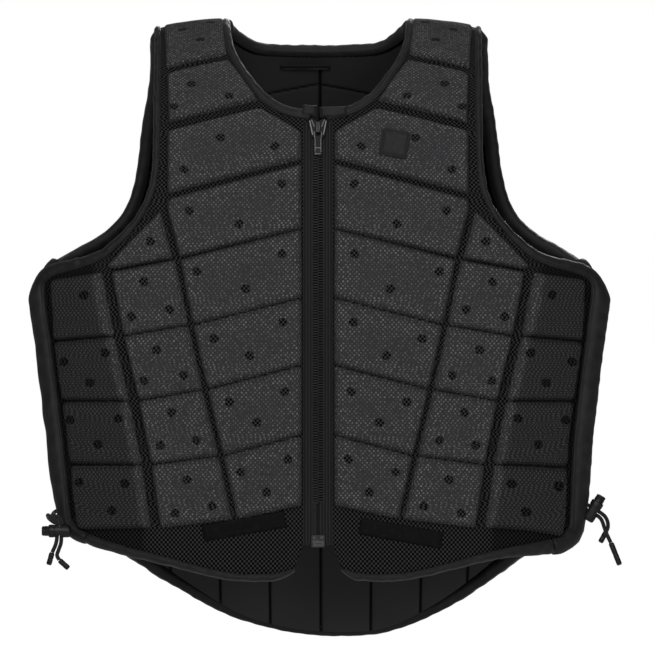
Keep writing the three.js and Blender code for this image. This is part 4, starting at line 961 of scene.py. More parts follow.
def lineDistance(x, w, line):
    best = np.full(x.shape, 1e6)
    for (ax, az), (bx, bz) in zip(line, line[1:]):
        a = np.array([ax, float(alongAt(ax, -az))])
        b = np.array([bx, float(alongAt(bx, -bz))])
        d = b - a
        t = np.clip(((x - a[0]) * d[0] + (w - a[1]) * d[1]) / np.dot(d, d), 0, 1)
        best = np.minimum(best, np.hypot(x - a[0] - t * d[0], w - a[1] - t * d[1]))
    return best


def makeBackLining():
    rows = None
    points, maps, seams, tailLightShares, faces = [], [], [], [], []
    for hand, hem in backHems:
        x, w, rows = panelSpread("backInner", "backOuter", hem, backTurn, 2.8, 110, rows)
        span = x[:, -1:] - x[:, :1]
        inner = np.where(x[:, :1] > 0.5, lining["inset"], 0)
        x = x[:, :1] + inner + (x - x[:, :1]) / span * (span - inner - lining["inset"])
        # the tail's lining covers most of its binding, less so towards the sides
        w[-1] += lining["inset"] - lining["tailLap"] * np.clip((190 - x[-1]) / 120, 0, 1)
        xs = x * hand
        seam = np.zeros(x.shape)
        for line in lining["seams"]:
            seam = np.maximum(seam, np.exp(-(lineDistance(xs, w, line) / lining["seamWidth"]) ** 2))
        soft = ripple(xs, w, 70, 91) * 0.5
        lift = -(body["seamThickness"] + lining["gap"] + lining["thick"]) + lining["seamDepth"] * seam + soft
        faces += gridFaces(*x.shape, flip=hand < 0, start=len(points) * x.size)
        points.append(offsetPoint(xs, w, 1, lift).reshape(-1, 3))
        maps.append(np.stack([xs, w], -1).reshape(-1, 2))
        seams.append(seam.ravel())
        # painted light mask: the lining is paler towards the tail
        tailLightShares.append(np.clip((dropAt(x, w) - 440) / 70, 0, 1).ravel())
    made = newObject("backLining", np.concatenate(points), faces, np.concatenate(maps),
                     {"seam": np.concatenate(seams), "tail": np.concatenate(tailLightShares)})
    weld(made)
    dress(made, liningCloth, "back_lining")


def makeFrontLinings():
    x, w, _ = panelSpread("frontInner", "frontOuter", "frontHem", body["seamTurn"], 5.5, 40)
    for hand, word in hands:
        seam = np.zeros(x.shape)
        for row in frontPads["rows"][:-1]:
            line = [(14, row[0]), (150, row[1]), (270, row[3])]
            seam = np.maximum(seam, np.exp(-(lineDistance(x, w, line) / 2.2) ** 2))
        point, _, out = faceFrame(*fuller(x, w, hand), -1)
        lift = -body["seamThickness"] + 0.9 * seam + ripple(x, w, 60, 93 + hand) * 0.3
        points = (point + out * lift[..., None]) * [hand, 1, 1]
        made = newObject("frontLining" + word.title(), points, gridFaces(*x.shape, flip=hand > 0),
                         np.stack([x, w], -1), {"seam": seam})
        dress(made, liningCloth, None)


makeBackLining()
makeFrontLinings()
print("linings made")

# the centre zip, drops measured from the datum
zipSizes = {
    "drop": 73.0, "clear": 15.0, "chainHalf": 5.6, "sink": 2.0, "tapeEnd": 509.0,
    "toothPitch": 2.6, "toothHigh": 1.35, "sliderLength": 20.0, "boxTop": 490.0, "boxLength": 12.5,
    "chainEnd": 458.0, "pinWidth": 1.3,
}


def localFrame(x, w, side, rise):
    point, up, out = faceFrame(x, w, side)
    across = unit(np.cross(up, out))
    up = np.cross(out, across)
    return point + out * rise, across, up, out


def placeIn(local, origin, axes):
    local = np.asarray(local, float)
    return origin + local @ np.array(axes)


def makeZipTapes():
    heights = alongAt(0.0, np.linspace(zipSizes["drop"] - 3, zipSizes["tapeEnd"] - 9, 240))
    drops = dropAt(0.0, heights)
    share = np.linspace(0, 1, 14)
    past = np.clip((drops - zipSizes["chainEnd"] + 2) / 3, 0, 1)
    inner = (zipSizes["chainHalf"] - 1.2) * (1 - past) + 0.4 * past
    outer = np.full(len(drops), zipSizes["clear"] + 1.4)
    x = inner[:, None] + (outer - inner)[:, None] * share
    w = np.repeat(heights[:, None], len(share), 1)
    rise = -zipSizes["sink"] + 0.5 * np.sin(share * np.pi)[None, :] + ripple(x, w, 20, 3) * 0.12
    points = offsetPoint(x, w, -1, rise)
    lower = offsetPoint(x, w, -1, rise - 1.8)
    ring = np.concatenate([points, lower[:, ::-1], points[:, :1]], 1)
    uv = np.stack([np.concatenate([x, x[:, ::-1], x[:, :1]], 1), np.repeat(w[:, :1], ring.shape[1], 1)], -1)
    for hand, word in hands:
        made = newObject("zipTape" + word.title(), ring * [hand, 1, 1],
                         gridFaces(*ring.shape[:2], flip=hand < 0), uv)
        dress(made, zipCloth, "zip_tape_" + word)


def pinLines():
    # stiff pins below the chain, one on each tape
    made = {}
    for hand, across in ((1, 5.2), (-1, 4.0)):
        heights = alongAt(0.0, np.linspace(zipSizes["chainEnd"] - 2, zipSizes["boxTop"] + 3, 18))
        line = offsetPoint(np.full(18, across * hand), heights, -1, np.full(18, -0.9))
        made[hand] = tube("pin", line, zipSizes["pinWidth"] / 2, 10)
    return made


def makeTeeth():
    # one tooth: a rounded bar from the tape towards the centre, in (across, up, out)
    bar = []
    for across, grow in ((5.0, 0.7), (4.5, 1.0), (3.0, 1.0), (1.6, 0.92), (0.7, 1.2), (-0.4, 1.0)):
        for a in np.linspace(0, 2 * np.pi, 8, endpoint=False):
            bar.append((across, grow * zipSizes["toothHigh"] * 0.5 * math.cos(a) * 1.15,
                        grow * 1.25 * math.sin(a)))
    bar = np.array(bar)
    faces = np.array(gridFaces(6, 8, closed=True))
    ends = [list(range(7, -1, -1)), list(range(40, 48))]
    drops = np.arange(zipSizes["drop"] + 17.0, zipSizes["chainEnd"], zipSizes["toothPitch"])
    pins = pinLines()
    for hand, word in hands:
        points, quads, caps = [], [], []
        for k, drop in enumerate(drops + (0 if hand > 0 else zipSizes["toothPitch"] / 2)):
            origin, across, up, out = localFrame(0.0, alongAt(0.0, drop), -1, -zipSizes["sink"] + 0.4)
            points.append(placeIn(bar * [hand, 1, 1], origin, (across, up, out)))
            quads += (faces + 48 * k).tolist()
            caps += [[i + 48 * k for i in end] for end in ends]
        uv = np.zeros((len(drops) * 48, 2))
        made = newObject("zipTeeth" + word.title(), np.concatenate(points), quads + caps, uv)
        if hand > 0:
            made.data.flip_normals()
        joinInto(made, pins[hand])
        dress(made, toothPlastic, "zip_teeth_" + word)


def plate(name, outline, thickness, origin, axes, hole=None, bevel=0.4, lift=0.0):
    # flat part with rounded edges from an outline in (across, up)
    work = bmesh.new()
    outer = [work.verts.new((px, py, 0)) for px, py in outline]
    rim = [work.edges.new((a, b)) for a, b in zip(outer, outer[1:] + outer[:1])]
    if hole:
        inner = [work.verts.new((px, py, 0)) for px, py in hole]
        rim += [work.edges.new((a, b)) for a, b in zip(inner, inner[1:] + inner[:1])]
        bmesh.ops.triangle_fill(work, use_beauty=True, edges=rim)
    else:
        work.faces.new(outer)
    bmesh.ops.recalc_face_normals(work, faces=work.faces)
    grown = bmesh.ops.extrude_face_region(work, geom=list(work.faces))
    moved = [g for g in grown["geom"] if isinstance(g, bmesh.types.BMVert)]
    bmesh.ops.translate(work, verts=moved, vec=(0, 0, thickness))
    bmesh.ops.recalc_face_normals(work, faces=work.faces)
    bmesh.ops.dissolve_limit(work, angle_limit=0.01, verts=work.verts, edges=work.edges)
    sharp = [e for e in work.edges if len(e.link_faces) == 2 and e.calc_face_angle() > 0.6]
    bmesh.ops.bevel(work, geom=sharp, offset=bevel, segments=3, profile=0.6, affect="EDGES",
                    clamp_overlap=True)
    mesh = bpy.data.meshes.new(name)
    work.to_mesh(mesh)
    work.free()
    matrix = Matrix([[axes[0][r], axes[1][r], axes[2][r], origin[r]] for r in range(3)] + [[0, 0, 0, 1]])
    mesh.transform(Matrix.Translation((0, 0, lift)))
    mesh.transform(matrix)
    mesh.transform(Matrix.Scale(mm, 4))
    mesh.uv_layers.new(name="cloth")
    mesh.polygons.foreach_set("use_smooth", [True] * len(mesh.polygons))
    made = bpy.data.objects.new(name, mesh)
    bpy.context.scene.collection.objects.link(made)
    made.modifiers.new("edges", "WEIGHTED_NORMAL").keep_sharp = True
    return made


def joinInto(first, *others):
    for other in others:
        other.data.transform(first.matrix_world.inverted() @ other.matrix_world)
    work = bmesh.new()
    for piece in (first, *others):
        work.from_mesh(piece.data)
    work.to_mesh(first.data)
    work.free()
    for other in others:
        bpy.data.objects.remove(other)
    first.data.polygons.foreach_set("use_smooth", [True] * len(first.data.polygons))
    return first


# painted highlight: joins the pale edge strips into one piece
def dressHighlights(name, parts, body=rootBody):
    bright = joinInto(*parts)
    fixNormals(bright)
    bright.name = name
    dress(bright, paintedEdgeHighlight, None, body=body)


slider = {
    "half": 9.2, "plate": 2.6, "rise": -0.8, "archWidth": 3.0, "archUpper": 5.0, "archLower": -6.5,
    "archClear": 3.0, "archLeg": 2.0, "pullLength": 26.0, "pullWidth": 8.0, "pullThick": 1.6, "bar": 1.0,
}


def makeSlider():
    half = zipSizes["sliderLength"] / 2
    w = alongAt(0.0, zipSizes["drop"] + half)
    origin, across, up, out = localFrame(0.0, w, -1, slider["rise"])
    axes = (across, up, out)
    outline = [(0, 0.62 * half), (2.2, 0.8 * half), (6.4, half), (8.6, 0.8 * half), (9.2, 0.35 * half),
               (8.4, -0.1 * half), (6.7, -0.6 * half), (6.3, -half), (0, -half)]
    outline += [(-px, py) for px, py in outline[-2:0:-1]]
    base = plate("zipSlider", outline, slider["plate"], origin, axes, bevel=0.7)
    top = slider["plate"] + slider["archClear"] + slider["archLeg"] - 0.15
    low = slider["plate"] - 0.6
    upper, lower = slider["archUpper"] + 1.0, slider["archLower"] - 1.0
    # bridge seen from the side, extruded across
    side = [(upper + 0.4, low), (upper, top - 1.6), (upper - 1.3, top), (lower + 1.3, top), (lower, top - 1.6),
            (lower - 0.4, low), (lower + 2.1, low), (lower + 2.1, top - 2.6), (lower + 2.7, top - 2.0),
            (upper - 2.7, top - 2.0), (upper - 2.1, top - 2.6), (upper - 2.1, low)]
    arch = plate("arch", side, slider["archWidth"], origin - across * slider["archWidth"] / 2,
                 (up, out, across), bevel=0.45)
    made = joinInto(base, arch)
    dress(made, zipMetal, "zip_slider")
    # painted highlight: pale strips along the slider's edges and the sides of its bridge
    lips = []
    lines = (((8.3, 0.75 * half), (5.4, -0.75 * half), 0.6), ((6.6, 0.85 * half), (3.6, 0.1 * half), 0.45))
    for hand in (-1, 1):
        for (ax, ay), (bx, by), wide in lines:
            lip = [(hand * (ax + wide), ay), (hand * (bx + wide), by), (hand * (bx - wide), by),
                   (hand * (ax - wide), ay)][::hand]
            lips.append(plate("lip", lip, 0.5, origin, axes, bevel=0.15, lift=slider["plate"] - 0.1))
        lips.append(plate("lip", [(upper - 1.6, -0.25), (lower + 1.6, -0.25), (lower + 1.6, 0.25), (upper - 1.6, 0.25)],
                          0.35, origin + across * hand * 1.05 + out * (top - 0.1), (up, -across, out), bevel=0.1))
    dressHighlights("zipSliderHighlights", lips)

    barPlace = slider["archLower"] + slider["archLeg"] / 2 + slider["bar"] + 0.4
    barHeight = slider["plate"] + slider["archClear"] / 2
    hinge = origin + up * barPlace + out * (barHeight - slider["pullThick"] / 2)
    wide, length = slider["pullWidth"] / 2, slider["pullLength"]
    shape = [(0.72 * wide, 1.0), (wide, 0.2), (wide, -3.5), (0.86 * wide, -9), (0.8 * wide, 3.4 - length),
             (wide - 0.2, 2.4 - length), (wide - 0.4, 1.2 - length), (0.65 * wide, 1 - length)]
    shape += [(-px, py) for px, py in shape[::-1]]
    eye = [(2.15, -1.0), (2.15, -5.2), (-2.15, -5.2), (-2.15, -1.0)]
    pull = plate("zipPull", shape, slider["pullThick"], hinge, axes, hole=eye, bevel=0.35)
    # painted shade: a near-black plate fills the pull's window in place of the shaded opening
    window = [(2.5, -18.6), (2.5, -23.4), (-2.5, -23.4), (-2.5, -18.6)]
    windowShade = plate("zipPullWindow", window, 0.25, hinge, axes, bevel=0.05, lift=slider["pullThick"] - 0.05)
    dress(windowShade, neckCloth, None, body="zip_pull")
    # painted highlight: pale strips along the pull's sides and two across its lower part
    outer = [(wide - 0.1, -0.6), (wide - 0.1, -3.5), (0.82 * wide, -9), (0.78 * wide, 3.4 - length)]
    outer += [(0.78 * wide - 0.6, 3.4 - length), (0.82 * wide - 0.6, -9), (wide - 0.7, -3.5), (wide - 0.7, -0.6)]
    shapes = [[(hand * px, py) for px, py in outer][::hand] for hand in (-1, 1)]
    shapes += [[(2.9, y + 0.35), (2.9, y - 0.35), (-2.9, y - 0.35), (-2.9, y + 0.35)]
               for y in (2.0 - length, 8.3 - length)]
    rims = [plate("rim", rim, 0.3, hinge, axes, bevel=0.1, lift=slider["pullThick"] - 0.1) for rim in shapes]
    dressHighlights("zipPullHighlights", rims, body="zip_pull")
    dress(pull, zipMetal, "zip_pull", body="zip_pull")


def makeZipBox():
    drop = zipSizes["boxTop"] + zipSizes["boxLength"] / 2
    origin, across, up, out = localFrame(0.0, alongAt(0.0, drop), -1, -1.6)
    axes = (across, up, out)
    tall = zipSizes["boxLength"] / 2
    shape = [(6.2, tall), (6.9, tall - 1), (6.9, 1 - tall), (6.0, -tall), (-6.0, -tall), (-6.9, 1 - tall),
             (-6.9, tall - 1), (-6.2, tall)]
    base = plate("zipBox", shape, 2.6, origin, axes, bevel=0.6)
    block = plate("zipBoxFront", [(5.9, 0.6), (5.9, -5.3), (-5.2, -5.3), (-5.2, 0.6)], 1.1, origin, axes,
                  bevel=0.4, lift=2.4)
    knobs = [plate("knob", [(px + 1.5, 4.9), (px + 1.5, 2.3), (px - 1.5, 2.3), (px - 1.5, 4.9)], 0.8, origin, axes,
                   bevel=0.3, lift=2.4) for px in (-3.9, 3.6)]
    groove = plate("groove", [(3.6, -2.0), (3.6, -2.8), (-2.8, -2.8), (-2.8, -2.0)], 0.2, origin, axes,
                   bevel=0.05, lift=3.42)
    front = joinInto(block, *knobs)
    dress(joinInto(base, groove), boxMetal, "zip_box")
    dress(front, blockMetal, None)


makeZipTapes()
makeTeeth()
makeSlider()
makeZipBox()
print("zip made")


def patch(name, x, drop, side, length, height, rise, thick, turn, material, node, slot, border=0.0, wave=0.0,
          roll=1.0):
    middle = float(alongAt(x, drop))
    level = np.array([0, 0.01, 0.03, 0.07, 0.12, 0.16, 0.5, 0.84, 0.88, 0.93, 0.97, 0.99, 1])
    run = np.unique(np.r_[np.linspace(0, 1, 43), level * 0.15, 1 - level * 0.15])
    high = np.unique(np.r_[level, np.linspace(0, 1, 9)])
    a, b = np.meshgrid((run - 0.5) * length, (high - 0.5) * height, indexing="ij")
    edge = np.minimum(length / 2 - np.abs(a), height / 2 - np.abs(b))
    lift = rise + thick * np.sin(0.5 * np.pi * np.clip(edge / roll, 0, 1))
    if border:
        lift = lift - 0.28 * np.exp(-((edge - border) / 0.5) ** 2)
    if wave:
        lift = lift + wave * ripple(a, b, 22, 17) * np.clip(edge / 3, 0, 1)
    xs = x + a * math.cos(turn) - b * math.sin(turn)
    ws = middle + a * math.sin(turn) + b * math.cos(turn)
    points = offsetPoint(xs, ws, side, lift)
    made = newObject(name, points, gridFaces(len(run), len(high), flip=side < 0), np.stack([a, b], -1),
                     {"seam": np.zeros(a.shape)})
    return dress(made, material, node)


labels = {
    "length": 84.0, "height": 17.0, "rise": 0.3, "thick": 1.0, "turn": math.radians(10), "border": 1.4,
    "places": {"left": (82.94, 488.16), "right": (-73.95, 481.14)},
    # a tab is (x, drop, length, turn)
    "tabs": {"left": (15.6, 67.5, 28.0, 0.05), "right": (-8.6, 66.0, 15.0, -0.10)},
}
for word, (x, drop) in labels["places"].items():
    patch("hemLabel" + word.title(), x, drop, -1, labels["length"], labels["height"], labels["rise"],
          labels["thick"], -math.copysign(labels["turn"], x), labelRubber, "hem_label_" + word, "label_rubber",
          border=labels["border"])
patch("neckLabel", -13.0, 12.4, 1, 50.0, 11.0, -14.0, -1.0, 0.0, neckCloth, "neck_label", "label_cloth",
      border=1.2, wave=0.2)
for word, (x, drop, length, turn) in labels["tabs"].items():
    patch("zipTopTab" + word.title(), x, drop, -1, length, 14.5, 3.0, 3.2, turn, bindingCloth, "zip_top_tab",
          "binding_cloth", wave=0.8, roll=4.0)

badge = {"side": 28.0, "corner": 3.0, "x": 75.98, "drop": 100.98, "turn": math.radians(-10)}


def roundedSquare(half, corner, count=10):
    ring = []
    for cx, cy, start in ((1, 1, 0), (-1, 1, 90), (-1, -1, 180), (1, -1, 270)):
        for a in np.radians(np.linspace(start, start + 90, count)):
            ring.append((cx * (half - corner) + corner * math.cos(a), cy * (half - corner) + corner * math.sin(a)))
    return np.array(ring)


def makeBadge():
    origin, across, up, out = localFrame(badge["x"], float(alongAt(badge["x"], badge["drop"])), -1,
                                         body["padRise"] + 0.3)
    c, s = math.cos(badge["turn"]), math.sin(badge["turn"])
    axes = (across * c + up * s, up * c - across * s, out)
    half = badge["side"] / 2
    levels = [(1.0, 0.0), (1.0, 1.2), (0.985, 1.7), (0.955, 2.0), (0.90, 2.0), (0.88, 1.45), (0.845, 1.45),
              (0.825, 2.0), (0.76, 2.0), (0.74, 1.55), (0.70, 1.5), (0.3, 1.55), (0.02, 1.55)]
    rings = []
    for scale, height in levels:
        ring = roundedSquare(half * scale, max(badge["corner"] * scale, 0.2 * half * scale))
        rings.append(np.c_[ring, np.full(len(ring), height)])
    rings = np.array(rings)
    made = newObject("chestBadge", placeIn(rings.reshape(-1, 3), origin, axes),
                     gridFaces(len(levels), rings.shape[1], closed=True, flip=True), rings[..., :2])
    dress(made, badgeRubber, "chest_badge")
    # stitches in the groove
    line = evenLine(np.r_[roundedSquare(half * 0.862, 2.6), roundedSquare(half * 0.862, 2.6)[:1]], 2.3)
    points, faces = [], []
    ball = np.array([(a, 0.32 * math.cos(t), 0.32 * math.sin(t)) for a in (-0.85, -0.6, 0, 0.6, 0.85)
                     for t in np.linspace(0, 2 * np.pi, 6, endpoint=False)])
    ball[:6, 1:] *= 0.3
    ball[-6:, 1:] *= 0.3
    for k, (a, b) in enumerate(zip(line, line[1:])):
        run = (b - a) / np.linalg.norm(b - a)
        centre = (a + b) / 2
        local = np.c_[centre[0] + ball[:, 0] * run[0] - ball[:, 1] * run[1],
                      centre[1] + ball[:, 0] * run[1] + ball[:, 1] * run[0], 1.6 + ball[:, 2]]
        points.append(placeIn(local, origin, axes))
        faces += (np.array(gridFaces(5, 6, closed=True)) + 30 * k).tolist()
    threads = newObject("badgeStitches", np.concatenate(points), faces)
    dress(threads, stitchThread, None)


makeBadge()
print("labels and badge made")

lace = {
    "diameter": 3.6, "loops": 5, "top": 0.55, "bottom": 0.825, "width": 7.0, "half": 4.8, "eye": 3.4,
    "reach": 9.0, "tapeInner": -1.5, "tapeOuter": 8.0, "tapeThick": 1.2, "cord": 4.0,
    # side edges as shares: down of the length, reach of the chest's half width
    "front": [(0.283, 0.571), (0.395, 0.952), (0.52, 0.93), (0.641, 0.902), (0.763, 0.875), (0.88, 0.846),
              (0.974, 0.83)],
    "back": [(0.012, 0.61), (0.255, 0.606), (0.385, 0.925), (0.48, 0.935), (0.65, 0.89), (0.785, 0.865),
             (0.925, 0.832), (1.1, 0.8)],
}


def sideFrame(side, down):
    at, reach = np.array(lace["front"] if side < 0 else lace["back"]).T
    places = []
    for share in (down - 0.02, down, down + 0.02):
        x = curveThrough(at, reach, share) * body["chestHalf"]
        places.append(faceFrame(x, float(alongAt(x, share * body["length"])), side))
    point, out = places[1][0], places[1][2]
    one = unit(np.cross(places[1][0] - places[0][0], out))
    two = unit(np.cross(places[2][0] - places[1][0], out))
    return point, unit(one + two) * side, out


def sidePoint(side, down, aside, rise, along=0.0):
    point, sideways, out = sideFrame(side, down)
    run = np.cross(out, sideways) * side
    return point + sideways * aside + out * rise + run * along


def loopDown(side, k):
    pitch = (lace["bottom"] - lace["top"]) / (lace["loops"] - 1)
    return lace["top"] + pitch * (k + (0 if side < 0 else 0.5))


tapeTop = -binding["bottom"] - 0.4
ringRise = tapeTop - lace["tapeThick"] - lace["half"] + 0.6


def makeLoops():
    pitch = (lace["bottom"] - lace["top"]) / (lace["loops"] - 1)
    for side, stem in ((-1, "front"), (1, "back")):
        downs = np.linspace(loopDown(side, 0) - 0.3 * pitch, loopDown(side, lace["loops"] - 1) + 0.3 * pitch, 60)
        frames = [sideFrame(side, d) for d in downs]
        centres, sideways, out = (np.array([f[k] for f in frames]) for k in range(3))
        low = tapeTop - lace["tapeThick"]
        a, b = lace["tapeInner"], lace["tapeOuter"]
        flat = [(a, tapeTop), (b - 0.4, tapeTop), (b, tapeTop - 0.3), (b, low + 0.3), (b - 0.4, low), (a, low),
                (a, tapeTop)]
        for hand, word in hands:
            flipAll = np.array([hand, 1, 1])
            tape = sweep("tape", centres * flipAll, sideways * flipAll, out * flipAll, flat, closed=False)
            rings = []
            for k in range(lace["loops"]):
                _, aside, lift = sideFrame(side, loopDown(side, k))
                run = np.cross(aside, lift)
                centre = sidePoint(side, loopDown(side, k), lace["reach"], ringRise)
                turn = np.linspace(0, 2 * np.pi, 25)
                mean = (lace["half"] + lace["eye"]) / 2
                thick = (lace["half"] - lace["eye"]) / 2
                square = [(np.sign(part) * np.abs(part) ** 0.7)[:, None] for part in (np.cos(turn), np.sin(turn))]
                path = centre + mean * (square[0] * aside + square[1] * lift)
                outward = unit(path - centre)
                wide = lace["width"] / 2
                section = [(-wide, -thick), (wide, -thick), (wide + 0.1, 0), (wide, thick), (-wide, thick),
                           (-wide - 0.1, 0), (-wide, -thick)]
                runs = np.repeat(run[None], len(path), 0)
                ring = sweep("ring", path * flipAll, runs * flipAll, outward * flipAll, section, closed=False,
                             caps=False)
                rings.append(ring)
            tape.name = stem + "LaceLoops" + word.title()
            made = joinInto(tape, *rings)
            fixNormals(made)
            dress(made, loopCloth, "%s_lace_loops_%s" % (stem, word))


def makeLaces():
    leg = lace["width"] / 2 + 0.6 * lace["cord"]
    route = []
    for k in range(lace["loops"]):
        for side in (-1, 1):
            for along in (-leg, 0, leg):
                route.append(sidePoint(side, loopDown(side, k), lace["reach"], ringRise, along))
    path = smoothRoute(route, 1.6)
    for hand, word in hands:
        made = tube("sideLace" + word.title(), path * [hand, 1, 1], lace["diameter"] / 2)
        dress(made, cordBraid, "side_lace_" + word)


makeLoops()
makeLaces()

locks = {
    "radius": 6.5, "length": 22.0, "holePlace": 10.5, "holeHalfLong": 4.7, "holeHalf": 2.6, "button": 5.0,
    "buttonOut": 7.0, "buttonIn": 2.5, "travel": 2.0,
    "right": {"place": (-270, -55, -486.5), "turn": math.radians(-90)},
    "left": {"place": (281.5, -29, -457.5), "turn": math.radians(31.5)},
}


def makeLocks():
    r, length = locks["radius"], locks["length"]
    inner = locks["button"] + 0.2
    deep = locks["buttonIn"] + locks["travel"] + 0.4
    shell = [(0.01, -length), (0.62 * r, -length), (0.86 * r, -length + 0.5), (0.97 * r, -length + 1.6),
             (r, -length + 3), (r, -6.2), (r - 0.35, -5.9), (r - 0.35, -5.3), (r, -5.0), (r, -1.2),
             (r - 0.25, -0.4), (r - 0.75, 0), (inner + 0.2, 0), (inner, -0.3), (inner, -deep), (0.01, -deep)]
    b = locks["button"]
    cap = [(0.01, -locks["buttonIn"]), (b, -locks["buttonIn"]), (b, 3.8), (b - 0.35, 4.1), (b - 0.35, 4.6),
           (b, 4.9), (b, locks["buttonOut"] - 1.6), (b - 0.5, locks["buttonOut"] - 0.6),
           (0.72 * b, locks["buttonOut"]), (0.5 * b, locks["buttonOut"]), (0.42 * b, locks["buttonOut"] - 0.7),
           (0.01, locks["buttonOut"] - 0.9)]
    for word in ("left", "right"):
        place, turn = np.array(locks[word]["place"], float), locks[word]["turn"]
        axis = (math.sin(turn), 0, math.cos(turn))
        aside = (math.cos(turn), 0, -math.sin(turn))
        barrel = lathe("lockBarrel" + word.title(), shell, place, axis, 48, aside)
        # slot for the two cords, cut across the barrel
        x, y = np.array(aside), np.array((0, -1, 0.0))
        spine = np.array(axis, float)
        ring = []
        for a in np.radians(np.arange(0, 360, 15)):
            up = (locks["holeHalfLong"] - locks["holeHalf"]) * (1 if 0 <= math.sin(a) else -1)
            ring.append((locks["holeHalf"] * math.cos(a), up + locks["holeHalf"] * math.sin(a)))
        middle = place - spine * locks["holePlace"]
        tunnel = [middle + x * s + y * u + spine * v for s in (-12, 12) for v, u in ring]
        n = len(ring)
        sides = [(k, (k + 1) % n, n + (k + 1) % n, n + k) for k in range(n)]
        cutter = newObject("cutter", tunnel, sides + [range(n - 1, -1, -1), range(n, 2 * n)])
        fixNormals(cutter)
        cut = barrel.modifiers.new("slot", "BOOLEAN")
        cut.operation = "DIFFERENCE"
        cut.solver = "EXACT"
        cut.object = cutter
        graph = bpy.context.evaluated_depsgraph_get()
        done = bpy.data.meshes.new_from_object(barrel.evaluated_get(graph))
        barrel.modifiers.clear()
        barrel.data = done
        bpy.data.objects.remove(cutter)
        barrel.data.polygons.foreach_set("use_smooth", [True] * len(barrel.data.polygons))
        barrel.data.set_sharp_from_angle(angle=math.radians(40))
        dress(barrel, lockPlastic, "cord_lock_barrel_" + word)
        knob = lathe("lockButton" + word.title(), cap, place, axis, 40, aside)
        knob.data.set_sharp_from_angle(angle=math.radians(50))
        dress(knob, lockPlastic, "cord_lock_button_" + word, body=word + "_button")


makeLocks()

cords = {
    "diameter": 4.0, "tip": 2.75, "tipStart": 0.8,
    "routes": {
        "long_right": [
            (-242.6, -30.6, -454.4), (-246.5, -27, -457.5), (-252.5, -23, -461.5), (-259, -21.5, -465),
            (-264.2, -26, -467.6), (-266, -34, -469.5), (-265.6, -44, -470.5), (-262, -51, -472.5),
            (-258, -54.6, -476.5), (-257.3, -55, -481), (-257.3, -55, -486.5), (-257.3, -55, -493),
            (-257.8, -55.2, -499), (-260.4, -56.4, -506.5), (-261.6, -57, -511), (-259.4, -57, -515.5)],
        "short_right": [
            (-241.4, 19.6, -472), (-243.2, 16.5, -477), (-249.5, 7, -480.4), (-258, -3, -481),
            (-265.5, -12, -478.5), (-270, -22, -474.8), (-271.4, -34, -471.5), (-270.4, -44, -471),
            (-267, -51, -473), (-262.6, -54.6, -476.5), (-261.7, -55, -481), (-261.7, -55, -486.5),
            (-261.7, -55, -493), (-263, -55, -500), (-266.5, -55, -508)],
        "short_left": [
            (241.4, 19.6, -472), (243.2, 15.6, -476.2), (247.5, 5, -475), (252, -7, -468.5),
            (256.5, -17.5, -461.4), (261, -24.4, -457.6), (265.5, -28.3, -457.8), (269.9, -29, -460.2),
            (277.2, -29, -464.6), (284.4, -29, -469), (288.6, -28.6, -472.8), (291, -28, -478),
            (291.2, -28, -483.5), (289.6, -28.5, -487.5)],
        "long_left": [
            (242.6, -30.6, -454.4), (246, -27.2, -456.5), (250.5, -24.6, -459), (256, -24.6, -461),
            (262.5, -28.3, -461.8), (267.6, -29, -463.9), (274.9, -29, -468.3), (282.1, -29, -472.7),
            (285, -31.2, -476.2), (287.4, -34, -483), (290.4, -35, -491), (294, -35, -498.5)],
    },
    "tipEnds": {
        "long_right": (-250, -57, -524), "short_right": (-270, -55, -520.5),
        "short_left": (283.5, -29, -498.5), "long_left": (303, -35, -521),
    },
}


def makeCords():
    t = cords["tip"]
    for name, route in cords["routes"].items():
        reach, word = name.split("_")
        title = reach.title() + word.title()
        path = smoothRoute(route, 1.2)
        end = path[-1]
        run = np.array(cords["tipEnds"][name], float) - end
        long = np.linalg.norm(run) - cords["tipStart"]
        run = unit(run)
        shape = [(0.01, -0.6), (2.1, -0.6), (2.25, 0), (0.93 * t, 0.15), (t, 0.9), (t, 0.42 * long),
                 (0.94 * t, 0.46 * long), (0.94 * t, 0.52 * long), (t, 0.56 * long), (t, long - 1.6),
                 (0.86 * t, long - 0.5), (0.6 * t, long), (0.01, long)]
        tip = lathe("cordTip" + title, shape, end + run * cords["tipStart"], run, 28, (0.2, 1, 0.3))
        dress(tip, lockPlastic, "cord_tip_" + name)
        made = tube("cord" + title, path, cords["diameter"] / 2)
        dress(made, cordBraid, "cord_" + name)


makeCords()
print("lacing, locks and cords made")

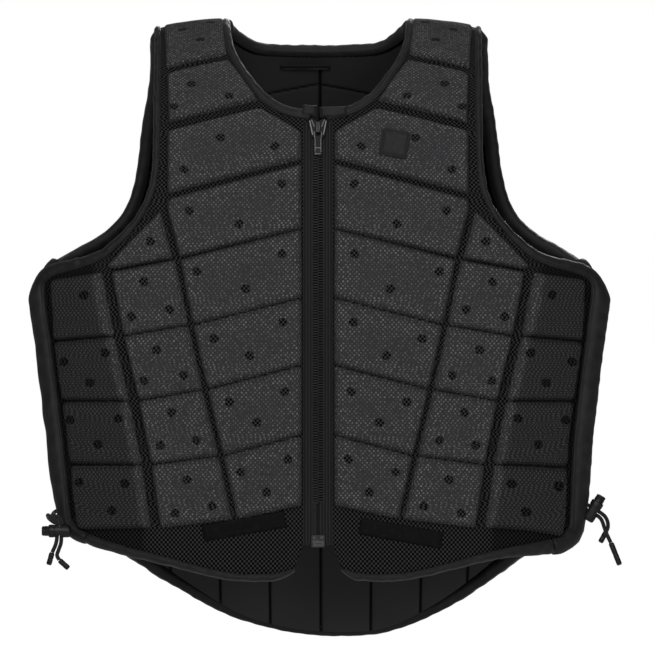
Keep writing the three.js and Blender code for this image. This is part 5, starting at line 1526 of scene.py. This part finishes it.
studio = {
    "floorZ": -0.78, "floorSize": 14.0, "floorColour": (0.8, 0.8, 0.8), "floorGlow": 1.0, "ambient": 0.07,
    "aim": (0, 0, -0.28),
    # name, place and size in metres, power
    "lamps": [("key", (-0.5, -2.6, 1.1), 1.0, 19), ("fill", (0.9, -2.8, 0.1), 1.0, 9),
              ("top", (0.0, 0.2, 2.2), 1.6, 6), ("rear", (0.4, 2.6, 1.0), 1.2, 24)],
}


def makeStudio():
    scene = bpy.context.scene
    scene.view_settings.view_transform = "Standard"
    scene.view_settings.look = "None"
    half = studio["floorSize"] / 2
    floor = newObject("floor", np.array([(-half, -half, 0), (half, -half, 0), (half, half, 0), (-half, half, 0)])
                      / mm + [0, 0, studio["floorZ"] / mm], [[0, 1, 2, 3]])
    s = Shade("paleFloor", studio["floorColour"], 0.9, spec=0.1)
    s.shader.inputs["Emission Color"].default_value = (1, 1, 1, 1)
    glow = s.math("MULTIPLY", s.node("ShaderNodeLightPath").outputs["Is Camera Ray"], studio["floorGlow"])
    s.tree.links.new(glow, s.shader.inputs["Emission Strength"])
    floor.data.materials.append(s.material)

    world = bpy.data.worlds.new("studio")
    world.use_nodes = True
    nodes, links = world.node_tree.nodes, world.node_tree.links
    soft = nodes["Background"]
    soft.inputs["Color"].default_value = (1, 1, 1, 1)
    soft.inputs["Strength"].default_value = studio["ambient"]
    plain = nodes.new("ShaderNodeBackground")
    plain.inputs["Color"].default_value = (1, 1, 1, 1)
    plain.inputs["Strength"].default_value = 1.0
    choose = nodes.new("ShaderNodeMixShader")
    ray = nodes.new("ShaderNodeLightPath")
    links.new(ray.outputs["Is Camera Ray"], choose.inputs[0])
    links.new(soft.outputs[0], choose.inputs[1])
    links.new(plain.outputs[0], choose.inputs[2])
    links.new(choose.outputs[0], nodes["World Output"].inputs[0])
    scene.world = world

    for name, place, size, power in studio["lamps"]:
        data = bpy.data.lights.new(name, "AREA")
        data.size = size
        data.energy = power
        lamp = bpy.data.objects.new(name, data)
        scene.collection.objects.link(lamp)
        lamp.location = place
        aim = Vector(studio["aim"]) - Vector(place)
        lamp.rotation_euler = aim.to_track_quat("-Z", "Y").to_euler()


makeStudio()
print("studio made")
